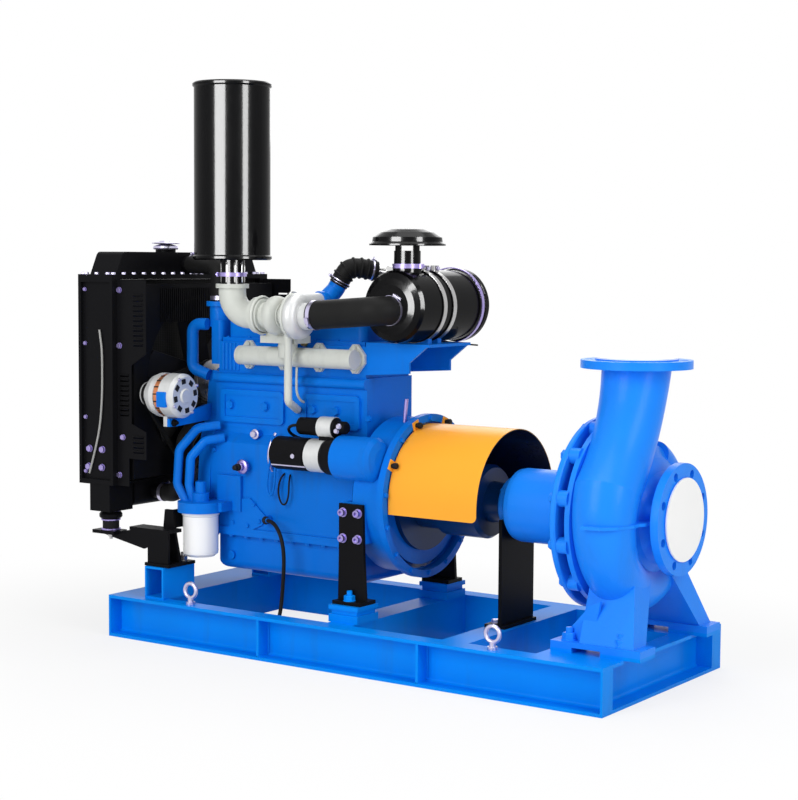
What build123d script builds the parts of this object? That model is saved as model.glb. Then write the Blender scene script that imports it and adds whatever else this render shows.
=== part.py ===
from build123d import *
import os
from math import cos, sin, tan, radians, degrees, atan2, hypot

# Diesel pump set on a channel frame, millimetres.
# Origin: centre of the base frame's footprint, on the floor.
# +X runs along the crankshaft to the pump's suction flange, +Z is up, -Y is the exhaust side.

# Base frame, rolled steel channel
base_length = 1610.0
base_width = 668.0
channel_height = 120.0
channel_flange = 53.0
channel_web = 6.0
channel_flange_thick = 9.0
channel_root = 9.0
end_plate_thick = 6.0
stiffener_thick = 8.0
stiffener_places = (-255.0, 268.0)

# Cross beams between the side rails: width, and place of the edge away from the pump
front_beam_width = 97.0
rear_beam_x = -55.0
rear_beam_width = 80.0
pillar_beam_x = 312.0
pillar_beam_width = 80.0

# Lifting eyes, on the top flanges of the side rails
eye_ring_radius = 20.0
eye_wire_radius = 5.5
eye_shank_radius = 6.0
eye_places = (-516.0, 480.0)

# Shaft line
pump_shaft_height = 315.0
foot_packing = 9.0
axis_z = channel_height + foot_packing + pump_shaft_height

# Fit clearances
seat_gap = 0.3
running_gap = 0.05

# Pump: suction DN 150 on the axis, discharge upwards, both flanges to one drilling
discharge_x = 711.0
suction_reach = 140.0
discharge_rise = 400.0
flange_diameter = 285.0
flange_thick = 24.0
flange_bolt_circle = 240.0
flange_bolt_count = 8
flange_bolt_hole = 22.0
flange_face_diameter = 212.0
flange_face_rise = 3.0
pump_bore = 150.0
cover_sheet_thick = 4.0
neck_wall = 14.0

# Volute
volute_start_angle = 62.0
volute_sweep = 267.0
volute_start_radius = 165.0
volute_growth = 25.0
volute_start_tube = 42.0
volute_end_tube = 82.0
volute_sections = 6
neck_radius = 89.0
rib_thick = 12.0
fin_thick = 8.0
volute_x = 724.0
casing_back_x = 640.0
casing_side_radius = 205.0
casing_bolt_circle = 450.0
casing_bolt_count = 12
casing_boss_radius = 21.0
cover_diameter = 492.0
cover_thick = 16.0
cover_gap = 22.0

# Pump feet
foot_bolt_spacing_y = 400.0
foot_bolt_spacing_x = 145.0
foot_bolt_hole = 22.0
foot_first_bolt_x = 638.0
foot_edge_x = 600.0
foot_length_x = 250.0
foot_inner_y = 148.0
foot_outer_y = 228.0
foot_thick = 18.0
foot_pad_end_x = 660.0
foot_pad_start_x = 740.0
foot_relief = 5.0
foot_beam_width = 150.0
leg_low_x = 752.0
leg_low_length = 150.0
leg_high_x = 728.0
leg_high_length = 122.0

# Bearing bracket and its pillar
bracket_radius = 98.0
bracket_start_x = 368.0
bracket_flange_radius = 150.0
bearing_cap_radius = 70.0
bearing_cap_reach = 26.0
pillar_width = 166.0
pillar_thick = 10.0
shaft_radius = 28.0

# Flywheel housing (SAE 3), flywheel and coupling
housing_flange_diameter = 451.0
housing_bore_diameter = 410.0
housing_face_x = 84.0
housing_flange_thick = 20.0
housing_shell_radius = 214.0
housing_wall = 14.0
crank_stub_radius = 40.0
flywheel_diameter = 380.0
flywheel_thick = 32.0
flywheel_recess = 18.0
coupling_hub_radius = 88.0
coupling_drum_radius = 100.0
coupling_drum_x = 156.0
coupling_drum_end = 292.0

# Coupling guard
guard_radius = 200.0
guard_sheet = 3.0
guard_end_x = 360.0
guard_drop = 30.0

# Engine block
block_front_x = -590.0
block_rear_x = -52.0
block_half_width = 108.0
crankcase_half_width = 132.0
pan_joint_z = 308.0
crankcase_top_z = 590.0
head_joint_z = 765.0
head_top_z = 852.0
rocker_top_z = 948.0
pan_bottom_z = 195.0
joint_rail_out = 6.0
joint_rail_height = 12.0
cylinder_pitch = 125.0
first_cylinder_x = -465.0
cylinder_count = 4

# Exhaust side
manifold_y = -148.0
manifold_z = 818.0
manifold_radius = 27.0
turbo_x = -205.0
turbo_y = -215.0
turbo_z = 935.0
turbo_waist_radius = 30.0
return_pipe_x = -242.0
turbine_x = -290.0
exhaust_pipe_radius = 38.0
muffler_x = -440.0
muffler_radius = 108.0
muffler_bottom_z = 1086.0
muffler_top_z = 1575.0

# Intake side: the can lies across the engine behind the head, hose end on the exhaust side
air_cleaner_radius = 97.0
air_cleaner_x = 67.0
air_cleaner_front_y = -165.0
air_cleaner_length = 355.0
air_cleaner_z = 965.0
strap_rise = 2.5
strap_width = 14.0
strap_places = (-55.0, -8.0)
intake_hose_radius = 39.0
intake_hose_start_z = 938.0
intake_hose_end_z = 955.0
intake_hose_bend = 41.0
intake_neck_y = -92.0
intake_neck_radius = 36.0
intake_neck_top_z = 1112.0
intake_cap_radius = 103.0
intake_cap_rim_z = 1130.0
cleaner_shelf_z = 864.0
cleaner_sheet = 8.0
cleaner_side_y = 104.0

# Drain hose: gland on the crankcase, and the route from it to the socket in the rail's web
hose_diameter = 11.0
drain_socket_radius = 8.0
drain_gland = (-372.0, -150.0, 353.0)
drain_route = [(-358, -158, 354), (-331, -171, 354), (-303, -184, 340), (-283, -190, 312), (-274, -191, 267),
               (-276, -191, 207), (-281, -192, 140), (-280, -204, 92), (-280, -235, 61), (-280, -269, 50)]

# Front end drive
belt_mid_x = -706.0
belt_width = 10.0
pulley_width = 20.0
fan_z = 728.0
fan_radius = 245.0
fan_x = -744.0
crank_pulley_radius = 78.0
water_pulley_radius = 62.0
alternator_pulley_radius = 34.0
alternator_y = -262.0
alternator_z = 702.0
alternator_radius = 63.0
alternator_end_x = -573.0
alternator_ear_x = -642.0
timing_half_width = 138.0
timing_depth = 46.0

# Radiator
radiator_back_x = -903.0
radiator_depth = 133.0
radiator_half_width = 350.0
radiator_bottom_z = 440.0
radiator_top_z = 1035.0
radiator_foot_z = 362.0
radiator_sheet = 3.0
tank_top_z = 1108.0


def box(x0, x1, y0, y1, z0, z1):
    """Box between two corners."""
    centre = ((x0 + x1) / 2, (y0 + y1) / 2, (z0 + z1) / 2)
    return Pos(*centre) * Box(abs(x1 - x0), abs(y1 - y0), abs(z1 - z0))


def rod_x(x0, x1, radius, y=0.0, z=0.0):
    return Pos((x0 + x1) / 2, y, z) * Rot(0, 90, 0) * Cylinder(radius, abs(x1 - x0))


def rod_y(y0, y1, radius, x=0.0, z=0.0):
    return Pos(x, (y0 + y1) / 2, z) * Rot(90, 0, 0) * Cylinder(radius, abs(y1 - y0))


def rod_z(z0, z1, radius, x=0.0, y=0.0):
    return Pos(x, y, (z0 + z1) / 2) * Cylinder(radius, abs(z1 - z0))


def revolve_x(points, y=0.0, z=0.0):
    """Turned piece about a line along X; points are (x, radius)."""
    outline = Polyline(*[(px, pr) for px, pr in points], close=True)
    solid = revolve(Plane.XY * make_face(outline), Axis.X)
    return Pos(0, y, z) * solid


def revolve_z(points, x=0.0, y=0.0):
    """Turned piece about a line along Z; points are (radius, z)."""
    outline = Polyline(*[(pr, pz) for pr, pz in points], close=True)
    solid = revolve(Plane.XZ * make_face(outline), Axis.Z)
    return Pos(x, y, 0) * solid


def revolve_y(points, x=0.0, z=0.0):
    """Turned piece about a line along Y; points are (radius, y)."""
    outline = Polyline(*[(pr, py) for pr, py in points], close=True)
    solid = revolve(Plane.XY * make_face(outline), Axis.Y)
    return Pos(x, 0, z) * solid


def plate_xz(points, y0, y1):
    """Flat plate with its outline in the XZ plane, from y0 to y1."""
    face = Plane.XZ * make_face(Polyline(*points, close=True))
    return Pos(0, max(y0, y1), 0) * extrude(face, abs(y1 - y0))


def plate_yz(points, x0, x1):
    """Flat plate with its outline in the YZ plane, from x0 to x1."""
    face = Plane.YZ * make_face(Polyline(*points, close=True))
    return Pos(min(x0, x1), 0, 0) * extrude(face, abs(x1 - x0))


def plate_xy(points, z0, z1):
    """Flat plate with its outline in the XY plane, from z0 to z1."""
    face = make_face(Polyline(*points, close=True))
    return Pos(0, 0, min(z0, z1)) * extrude(face, abs(z1 - z0))


def pipe(points, radius, bend, bore=0.0):
    """Round pipe along straight runs joined by arcs of one bend radius."""
    if len(points) > 2:
        path = FilletPolyline(*points, radius=bend)
    else:
        path = Line(*points)
    start = Plane(origin=path @ 0, z_dir=path % 0)
    solid = sweep(start * Circle(radius), path=path)
    if bore > 0:
        solid -= sweep(start * Circle(bore), path=path)
    return solid


def both_sides(piece):
    """The piece and its mirror copy on the far side of the shaft line."""
    return [piece, mirror(piece, Plane.XZ)]


def save(name, *solids):
    """Write the solids of one node."""
    found = []
    for piece in solids:
        found.extend(piece.solids())
    shape = found[0] if len(found) == 1 else Compound(children=found)
    export_step(shape, f"parts/{name}.step")
    print(name, len(found), round(sum(s.volume for s in found) / 1000.0, 1))


# Base frame
half_length = base_length / 2
half_width = base_width / 2
rail_web_y = half_width - channel_flange
end_web_x = half_length - channel_flange


def channel_section():
    """Channel outline, web at u = 0 and flanges to u = channel_flange, v up from 0."""
    web = Pos(channel_web / 2, channel_height / 2) * Rectangle(channel_web, channel_height)
    low = Pos(channel_flange / 2, channel_flange_thick / 2) * Rectangle(channel_flange, channel_flange_thick)
    high = Pos(0, channel_height - channel_flange_thick) * low
    section = web + low + high
    roots = [v for v in section.vertices() if abs(v.X - channel_web) < 0.01
             and 1 < v.Y < channel_height - 1]
    return fillet(roots, channel_root)


def side_rail():
    """Near side rail: flanges outwards, closed ends and welded stiffeners."""
    start = Plane(origin=(half_length, -rail_web_y, 0), x_dir=(0, -1, 0), z_dir=(-1, 0, 0))
    rail = extrude(start * channel_section(), base_length)
    inset = channel_flange_thick / 2
    for x in stiffener_places:
        rail += box(x - stiffener_thick / 2, x + stiffener_thick / 2, -half_width + 2, -rail_web_y - inset,
                    inset, channel_height - inset)
    last_run = Vector(*drain_route[-1]) - Vector(*drain_route[-2])
    drain_socket = extrude(Plane(origin=drain_route[-1], z_dir=last_run) * Circle(drain_socket_radius), 14)
    for x in (-half_length, half_length - end_plate_thick):
        rail += box(x, x + end_plate_thick, -half_width, -rail_web_y, 0, channel_height)
    return rail, rail + drain_socket


def end_beam(side):
    """Channel across the end of the frame between the rails, flanges outwards."""
    start = Plane(origin=(side * end_web_x, side * rail_web_y, 0), x_dir=(side, 0, 0), z_dir=(0, -side, 0))
    return extrude(start * channel_section(), 2 * rail_web_y)


def cross_beam(x0, width):
    """Folded channel between the rails, web towards the pump."""
    beam = box(x0, x0 + width, -rail_web_y, rail_web_y, 0, channel_height)
    return beam - box(x0 - 1, x0 + width - channel_web, -rail_web_y, rail_web_y,
                      channel_flange_thick, channel_height - channel_flange_thick)


def lifting_eye(x):
    """Forged eye bolt through the rail's top flange, with its nut."""
    y = -half_width + channel_flange * 0.5
    ring_z = channel_height + 14 + eye_ring_radius + eye_wire_radius
    ring = Pos(x, y, ring_z) * Rot(90, 0, 0) * Torus(eye_ring_radius, eye_wire_radius)
    collar = rod_z(channel_height, channel_height + 8, 13, x, y)
    neck = rod_z(channel_height + 7, ring_z - eye_ring_radius, 8, x, y)
    return ring + collar + neck


plain_rail, near_rail = side_rail()
save("side_rails", near_rail, mirror(plain_rail, Plane.XZ))
save("end_beams", end_beam(-1), end_beam(1))
save("cross_beams", cross_beam(-end_web_x, front_beam_width), cross_beam(rear_beam_x, rear_beam_width),
     cross_beam(pillar_beam_x, pillar_beam_width))
eyes = []
for place in eye_places:
    eyes.extend(both_sides(lifting_eye(place)))
save("lifting_eyes", *eyes)

timing_front_x = block_front_x - timing_depth

# Engine supports
pedestal_x0 = -688.0
pedestal_x1 = -618.0
pedestal_height = 92.0
pedestal_wall = 6.0
pedestal_near_y = -308.0
pedestal_far_y = -174.0
pedestal_top = channel_height + pedestal_height


def pedestal():
    """Short rectangular tube lying across the rail, open at both ends."""
    tube = box(pedestal_x0, pedestal_x1, pedestal_near_y, pedestal_far_y, channel_height, pedestal_top)
    hollow = box(pedestal_x0 + pedestal_wall, pedestal_x1 - pedestal_wall, pedestal_near_y - 1, pedestal_far_y + 1,
                 channel_height + pedestal_wall, pedestal_top - pedestal_wall)
    return tube - hollow


mount_foot_thick = 9.0
mount_plate_thick = 10.0
mount_plate_top = 370.0
mount_plate_x = timing_front_x - mount_plate_thick
mount_y = -240.0
arm_y = -290.0
arm_z = 302.0
arm_end_x = -884.0


def front_mount():
    """Welded front engine bracket with the arm that carries the radiator."""
    foot_top = pedestal_top + mount_foot_thick
    foot = box(pedestal_x0 - 8, pedestal_x1 + 14, -300, -186, pedestal_top, foot_top)
    post = plate_xz([(pedestal_x0 - 2, foot_top - 1), (pedestal_x1 + 6, foot_top - 1), (-630, 300),
                     (mount_plate_x + mount_plate_thick, mount_plate_top), (-668, mount_plate_top), (-676, 300)],
                    mount_y - 5, mount_y + 5)
    cross = box(mount_plate_x, mount_plate_x + mount_plate_thick, mount_y - 5, -60, mount_plate_top - 52, mount_plate_top)
    arm = plate_xz([(arm_end_x, arm_z - 10), (arm_end_x, arm_z), (-790, arm_z), (-700, arm_z + 16),
                    (pedestal_x1 + 6, arm_z + 16), (pedestal_x1 + 6, arm_z - 2), (-704, arm_z - 44)],
                   arm_y - 4, arm_y + 4)
    arm += box(arm_end_x, -800, arm_y - 28, arm_y + 28, arm_z - 10, arm_z)
    arm += box(-760, pedestal_x1 + 6, arm_y - 4, mount_y + 4, arm_z + 6, arm_z + 16)
    riser = box(pedestal_x0 - 2, pedestal_x1 + 6, arm_y - 4, arm_y + 4, foot_top - 1, arm_z + 10)
    return foot + post + cross + arm + riser


def radiator_rubber():
    """Rubber buffer between the arm and the radiator's foot."""
    x = radiator_back_x + radiator_depth / 2
    return rod_z(arm_z, radiator_foot_z, 24, x, arm_y)


save("front_support_pedestals", *both_sides(pedestal()))
save("front_engine_mounts", *both_sides(front_mount()))
save("radiator_rubber_mounts", *both_sides(radiator_rubber()))

rear_mount_x = -15.0
rear_mount_y = -218.0
pad_size = 96.0
pad_top_z = channel_height + 46.0
rear_bracket_top_z = 436.0
rear_plate_y = housing_shell_radius + 2.0
rear_plate_thick = 10.0


def mount_pads():
    """Steel and rubber packing plates under the rear bracket."""
    stack = box(rear_mount_x - pad_size / 2, rear_mount_x + pad_size / 2, rear_mount_y - pad_size / 2,
                rear_mount_y + pad_size / 2, channel_height, channel_height + 22)
    inset = pad_size / 2 - 6
    stack += box(rear_mount_x - inset, rear_mount_x + inset, rear_mount_y - inset, rear_mount_y + inset,
                 channel_height + 21, channel_height + 34)
    stack += box(rear_mount_x - pad_size / 2, rear_mount_x + pad_size / 2, rear_mount_y - pad_size / 2,
                 rear_mount_y + pad_size / 2, channel_height + 34, pad_top_z)
    return stack


def rear_bracket():
    """Tapered black bracket from the housing's side to the pads."""
    plate = plate_xz([(rear_mount_x - 46, pad_top_z), (rear_mount_x + 46, pad_top_z),
                      (rear_mount_x + 38, 300), (rear_mount_x + 34, rear_bracket_top_z),
                      (rear_mount_x - 44, rear_bracket_top_z), (rear_mount_x - 44, 300)],
                     -rear_plate_y - rear_plate_thick, -rear_plate_y)
    foot = box(rear_mount_x - 46, rear_mount_x + 46, -rear_plate_y - 36, -rear_plate_y + 36,
               pad_top_z, pad_top_z + 10)
    rib = plate_yz([(-rear_plate_y - 1, pad_top_z + 5), (-rear_plate_y + 34, pad_top_z + 5),
                    (-rear_plate_y - 1, 320)], rear_mount_x - 44, rear_mount_x - 36)
    return plate + foot + rib


save("rear_mount_pads", *both_sides(mount_pads()))
save("rear_engine_brackets", *both_sides(rear_bracket()))


# Engine block and pan
def oil_pan():
    """Pressed sump with a flanged rim and rounded lower edges."""
    body = box(block_front_x + 22, block_rear_x - 3, -118, 118, pan_bottom_z, pan_joint_z - 6)
    lower = [e for e in body.edges() if e.center().Z < pan_bottom_z + 1]
    body = fillet(lower, 26)
    rail_y = crankcase_half_width + joint_rail_out
    rim = box(block_front_x, block_rear_x, -rail_y, rail_y, pan_joint_z - 10, pan_joint_z)
    plug = rod_y(-126, -110, 12, -520, pan_bottom_z + 42)
    return body + rim + plug


side_plate_outline = [(-518, 398), (-441, 409), (-380, 358), (-397, 335), (-441, 315), (-518, 320)]


def cylinder_block():
    """Crankcase with stepped sides up to the head joint."""
    outline = [(-crankcase_half_width, pan_joint_z), (crankcase_half_width, pan_joint_z),
               (crankcase_half_width, crankcase_top_z - 26), (block_half_width, crankcase_top_z),
               (block_half_width, head_joint_z), (-block_half_width, head_joint_z),
               (-block_half_width, crankcase_top_z), (-crankcase_half_width, crankcase_top_z - 26)]
    block = plate_yz(outline, block_front_x, block_rear_x)
    rail_y = crankcase_half_width + joint_rail_out
    block += box(block_front_x, block_rear_x, -rail_y, rail_y, pan_joint_z, pan_joint_z + joint_rail_height)
    block += plate_xz(side_plate_outline, -rail_y, -120)
    block += rod_y(-148, -120, 13, -455, 500)
    block += rod_y(-128, -100, 11, -428, 593)
    block += rod_x(block_front_x, block_rear_x, 14, -block_half_width - 2, head_joint_z - 16)
    gx, gy, gz = drain_gland
    block += rod_y(gy, -crankcase_half_width + 2, 12, gx, gz)
    first_run = Vector(*drain_route[1]) - Vector(*drain_route[0])
    return block + extrude(Plane(origin=drain_route[0], z_dir=-first_run) * Circle(drain_socket_radius), 20)


def tappet_cover(x0, x1):
    """Pressed side cover with a raised frame."""
    outer = box(x0, x1, -block_half_width - 10, -block_half_width, 622, 716)
    outer = fillet([e for e in outer.edges() if abs(e.length - 10) < 0.1], 14)
    field = box(x0 + 16, x1 - 16, -block_half_width - 11, -block_half_width - 6, 638, 700)
    return outer - field


save("oil_pan", oil_pan())
save("cylinder_block", cylinder_block())
save("tappet_covers", tappet_cover(-566, -336), tappet_cover(-270, -72))


def timing_case():
    """Front gear case with the crank boss and the water pump boss."""
    w = timing_half_width
    outline = [(20 - w, pan_joint_z), (w - 20, pan_joint_z), (w, 420), (w - 10, 560), (w - 40, 640), (w - 54, head_joint_z),
               (54 - w, head_joint_z), (40 - w, 640), (10 - w, 560), (-w, 420)]
    case = plate_yz(outline, timing_front_x, block_front_x)
    case += rod_x(timing_front_x - 14, timing_front_x, 46, 0, axis_z)
    case += rod_x(timing_front_x - 22, timing_front_x, 44, 0, fan_z)
    return case


save("timing_case", timing_case())


def flywheel_housing():
    """Bell housing with its mounting flange, bore, side pads and starter nose."""
    flange_radius = housing_flange_diameter / 2
    flange_back_x = housing_face_x - housing_flange_thick
    shell = revolve_x([(block_rear_x, 0), (block_rear_x, 176), (block_rear_x + 30, housing_shell_radius),
                       (flange_back_x, housing_shell_radius), (flange_back_x, flange_radius),
                       (housing_face_x, flange_radius), (housing_face_x, 0)], 0, axis_z)
    nose = rod_x(-74, 40, 60, -196, 556)
    nose += revolve_x([(40, 0), (40, 60), (52, 50), (58, 30), (59, 0)], -196, 556)
    for side in (-1, 1):
        shell += box(block_rear_x + 4, rear_mount_x + 36, side * 120, side * (housing_shell_radius + 2), 330, 440)
    shell += nose
    shell -= rod_x(housing_face_x - 26, housing_face_x + 1, housing_bore_diameter / 2, 0, axis_z)
    shell -= rod_x(block_rear_x + housing_wall, housing_face_x, housing_bore_diameter / 2 - 4, 0, axis_z)
    return shell - rod_x(block_rear_x - 1, block_rear_x + 20, crank_stub_radius + running_gap, 0, axis_z)


save("flywheel_housing", flywheel_housing())


# Cylinder head and covers
def cylinder_head():
    head = box(block_front_x + 8, block_rear_x - 8, -104, 104, head_joint_z, head_top_z)
    for i in range(5):
        head += rod_z(head_joint_z + 6, head_top_z - 4, 5, block_front_x + 24 + 14 * i, -104)
    return head


def rocker_cover():
    cover = box(block_front_x + 22, block_rear_x - 26, -86, 86, head_top_z, rocker_top_z)
    top = [e for e in cover.edges() if e.center().Z > rocker_top_z - 1]
    upright = [e for e in cover.edges() if abs(e.length - (rocker_top_z - head_top_z)) < 0.1]
    cover = fillet(upright, 24)
    rim = [e for e in cover.edges() if e.center().Z > rocker_top_z - 1]
    cover = fillet(rim, 16)
    flange = box(block_front_x + 14, block_rear_x - 18, -94, 94, head_top_z, head_top_z + 12)
    return cover + flange


save("cylinder_head", cylinder_head())
save("rocker_cover", rocker_cover())

thermostat_x = -628.0
thermostat_y = -62.0


def thermostat_housing():
    """Cast outlet at the front of the head, with its bypass pipe."""
    body = box(block_front_x - 34, block_front_x + 8, -96, 40, head_joint_z + 20, head_top_z + 60)
    body = fillet([e for e in body.edges().filter_by(Axis.Z)], 12)
    tower = rod_z(head_top_z + 40, 962, 30, thermostat_x + 14, thermostat_y)
    flange = rod_z(952, 966, 40, thermostat_x + 14, thermostat_y)
    bypass = pipe([(thermostat_x - 2, -100, 900), (thermostat_x - 52, -108, 900), (thermostat_x - 52, -108, 770),
                   (thermostat_x, -96, 752)], 17, 26)
    return body + tower + flange + (bypass - timing_case())


save("thermostat_housing", thermostat_housing())


# Exhaust manifold and turbocharger
def exhaust_manifold():
    """Log manifold with one flanged branch a cylinder and a riser to the turbine."""
    log = rod_x(first_cylinder_x - 3, first_cylinder_x + 3 * cylinder_pitch + 24, manifold_radius,
                manifold_y, manifold_z)
    for i in range(cylinder_count):
        x = first_cylinder_x + i * cylinder_pitch
        log += rod_y(-104, manifold_y, 24, x, manifold_z)
        flange = plate_xz([(x - 32, manifold_z - 12), (x - 8, manifold_z - 40), (x + 8, manifold_z - 40),
                           (x + 32, manifold_z - 12), (x + 32, manifold_z + 12), (x + 8, manifold_z + 40),
                           (x - 8, manifold_z + 40), (x - 32, manifold_z + 12)], -114, -104)
        log += flange
    riser = rod_z(manifold_z, 878, 27, turbine_x + 8, -165)
    plate = box(turbine_x - 62, turbine_x + 60, -200, -130, 858, 878)
    return log + riser + plate


def turbine_housing():
    """Turbine scroll standing on the manifold's riser."""
    foot = box(turbine_x - 44, turbine_x + 58, -198, -132, 878, 890)
    stem = loft(Sketch() + [Pos(turbine_x + 8, -165, 888) * Circle(28),
                            Pos(turbine_x + 4, -190, 915) * Circle(26)])
    scroll = Pos(turbine_x + 8, turbo_y, turbo_z) * Rot(0, 90, 0) * Torus(30, 24)
    hub = rod_x(turbine_x - 34, turbine_x + 34, 36, turbo_y, turbo_z)
    outlet = rod_x(turbine_x - 48, turbine_x - 32, 46, turbo_y, turbo_z)
    waist = rod_x(turbine_x + 33, turbo_x - 22, turbo_waist_radius, turbo_y, turbo_z)
    return foot + stem + scroll + hub + outlet + waist


def compressor_housing():
    """Compressor scroll with its inlet and the outlet to the charge pipe."""
    plate = rod_x(turbo_x - 22, turbo_x - 14, 58, turbo_y, turbo_z)
    scroll = Pos(turbo_x, turbo_y, turbo_z) * Rot(0, 90, 0) * Torus(42, 22)
    hub = rod_x(turbo_x - 15, turbo_x + 20, 46, turbo_y, turbo_z)
    inlet = rod_x(turbo_x + 18, turbo_x + 46, intake_hose_radius - 2, turbo_y, turbo_z)
    outlet = pipe([(turbo_x, turbo_y, turbo_z + 42), (turbo_x, turbo_y + 88, turbo_z + 42)], 21, 10)
    return plate + scroll + hub + inlet + outlet


save("exhaust_manifold", exhaust_manifold())
save("turbine_housing", turbine_housing())
save("compressor_housing", compressor_housing())

elbow_top_z = 1020.0


def exhaust_elbow():
    """Cast bend from the turbine outlet up to the muffler's neck."""
    start_x = turbine_x - 48
    bend = pipe([(start_x, turbo_y, turbo_z), (muffler_x, turbo_y, turbo_z), (muffler_x, turbo_y, elbow_top_z)],
                exhaust_pipe_radius, 62)
    bend += rod_x(start_x - 12, start_x, 50, turbo_y, turbo_z)
    bend += rod_z(elbow_top_z - 12, elbow_top_z, 46, muffler_x, turbo_y)
    return bend


def muffler():
    """Upright silencer with rolled rims and a clamped neck."""
    can = revolve_z([(0, muffler_bottom_z), (muffler_radius - 3, muffler_bottom_z),
                     (muffler_radius + 2, muffler_bottom_z + 4), (muffler_radius + 2, muffler_bottom_z + 10),
                     (muffler_radius - 2, muffler_bottom_z + 14), (muffler_radius - 2, muffler_top_z - 14),
                     (muffler_radius + 2, muffler_top_z - 10), (muffler_radius + 2, muffler_top_z - 4),
                     (muffler_radius - 3, muffler_top_z), (0, muffler_top_z)], muffler_x, turbo_y)
    neck = rod_z(elbow_top_z, muffler_bottom_z, exhaust_pipe_radius - 4, muffler_x, turbo_y)
    outlet = rod_z(muffler_top_z - 40, muffler_top_z + 1, exhaust_pipe_radius, muffler_x, turbo_y)
    return can + neck - outlet


save("exhaust_elbow", exhaust_elbow())
save("muffler", muffler())

hose_start_x = turbo_x + 46
hose_end_y = air_cleaner_front_y - 7


# Intake side
def intake_hose():
    """Rubber hose from the compressor inlet, turning into the front of the air cleaner."""
    hose = pipe([(hose_start_x - 6, turbo_y, intake_hose_start_z), (air_cleaner_x, turbo_y, intake_hose_end_z),
                 (air_cleaner_x, hose_end_y, intake_hose_end_z)], intake_hose_radius, intake_hose_bend)
    return hose - box(hose_start_x - 60, hose_start_x, turbo_y - 80, turbo_y + 80, 850, 1050)


def air_cleaner():
    """Dry air cleaner lying across: domed hose end, straps, clamp ring and dust cover."""
    r = air_cleaner_radius
    y0 = air_cleaner_front_y
    y1 = y0 + air_cleaner_length
    ring_y = y0 + 320
    outline = [(0, y0 - 7), (58, y0 - 7), (76, y0 - 4), (r - 6, y0 + 4), (r, y0 + 14)]
    for y in strap_places:
        outline += [(r, y - strap_width / 2), (r + strap_rise, y - strap_width / 2),
                    (r + strap_rise, y + strap_width / 2), (r, y + strap_width / 2)]
    outline += [(r, ring_y - 9), (r + 5, ring_y - 7), (r + 5, ring_y + 7), (r, ring_y + 9),
                (r - 1, y1 - 18), (r - 8, y1 - 6), (r - 22, y1), (0, y1)]
    return revolve_y(outline, air_cleaner_x, air_cleaner_z)


def intake_cap():
    """Rain cap on its slotted neck above the air cleaner."""
    x = air_cleaner_x
    y = intake_neck_y
    rim_z = intake_cap_rim_z
    edge = intake_cap_radius
    cap = revolve_z([(0, rim_z + 4), (edge - 12, rim_z + 4), (edge, rim_z - 2), (edge, rim_z + 2), (edge - 8, rim_z + 8),
                     (edge - 10, rim_z + 20), (edge - 30, rim_z + 33), (50, rim_z + 41), (0, rim_z + 44)], x, y)
    neck = rod_z(air_cleaner_z + air_cleaner_radius - 14, rim_z + 5, intake_neck_radius, x, y)
    collar_z = air_cleaner_z + air_cleaner_radius - 6
    neck += rod_z(collar_z - 20, collar_z + 14, intake_neck_radius + 3, x, y)
    for angle in (35, 125):
        neck -= Pos(x, y, intake_neck_top_z + 9) * Rot(0, 0, angle) * Box(4 * intake_neck_radius, 30, 14)
    return cap + neck - air_cleaner()


save("intake_hose", intake_hose())
save("air_cleaner", air_cleaner())
save("intake_cap", intake_cap())


def air_cleaner_bracket():
    """Folded plate on the head's rear face that carries the air cleaner on two saddles."""
    x0 = block_rear_x - 8
    top = cleaner_shelf_z
    side = plate_xz([(x0, head_joint_z + 10), (83, 784), (83, 813), (146, top - 2), (x0, top - 2)],
                    -cleaner_side_y, -cleaner_side_y + cleaner_sheet)
    bracket = box(x0, x0 + cleaner_sheet, -cleaner_side_y, cleaner_side_y, head_joint_z + 10, top - 2)
    bracket += box(x0, 146, -cleaner_side_y, cleaner_side_y, top - cleaner_sheet, top)
    for piece in both_sides(side):
        bracket += piece
    strap_radius = air_cleaner_radius + strap_rise
    for y in strap_places:
        saddle = box(air_cleaner_x - 50, air_cleaner_x + 50, y - strap_width / 2 - 2, y + strap_width / 2 + 2,
                     top - 1, top + 40)
        bracket += saddle - rod_y(y - 20, y + 20, strap_radius + seat_gap, air_cleaner_x, air_cleaner_z)
    return bracket


save("air_cleaner_bracket", air_cleaner_bracket())

charge_joint = (turbo_x + 26, -52.0, 1040.0)


def charge_air_pipe():
    """Painted pipe from the compressor up to the crossing."""
    jx, jy, jz = charge_joint
    return pipe([(turbo_x, turbo_y + 88, turbo_z + 42), (turbo_x, -96, turbo_z + 42), (jx - 18, jy - 10, jz - 36),
                 charge_joint], 25, 18)


def charge_air_crossing():
    """Plated pipe over the rocker cover and down to the intake manifold."""
    jx, jy, jz = charge_joint
    return pipe([charge_joint, (jx + 15, jy + 15 / 1.8, jz + 30), (turbo_x + 110, 40, 1052), (turbo_x + 120, 146, 1030),
                 (turbo_x + 116, 142, 842)], 24, 30)


save("charge_air_pipe", charge_air_pipe())
save("charge_air_crossing", charge_air_crossing())


def intake_manifold():
    """Plain cast manifold on the far side of the head."""
    log = box(block_front_x + 60, block_rear_x - 60, 104, 176, 782, 842)
    return fillet(log.edges().filter_by(Axis.X), 14)


def injection_pump():
    """In-line injection pump on the far side of the crankcase."""
    body = box(-470, -250, crankcase_half_width, 208, 470, 600)
    body = fillet(body.edges().filter_by(Axis.Z), 10)
    nose = rod_x(block_front_x, -470, 46, crankcase_half_width + 50, 520)
    governor = rod_x(-250, -170, 50, crankcase_half_width + 54, 530)
    return body + nose + governor


save("intake_manifold", intake_manifold())
save("injection_pump", injection_pump())


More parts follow.
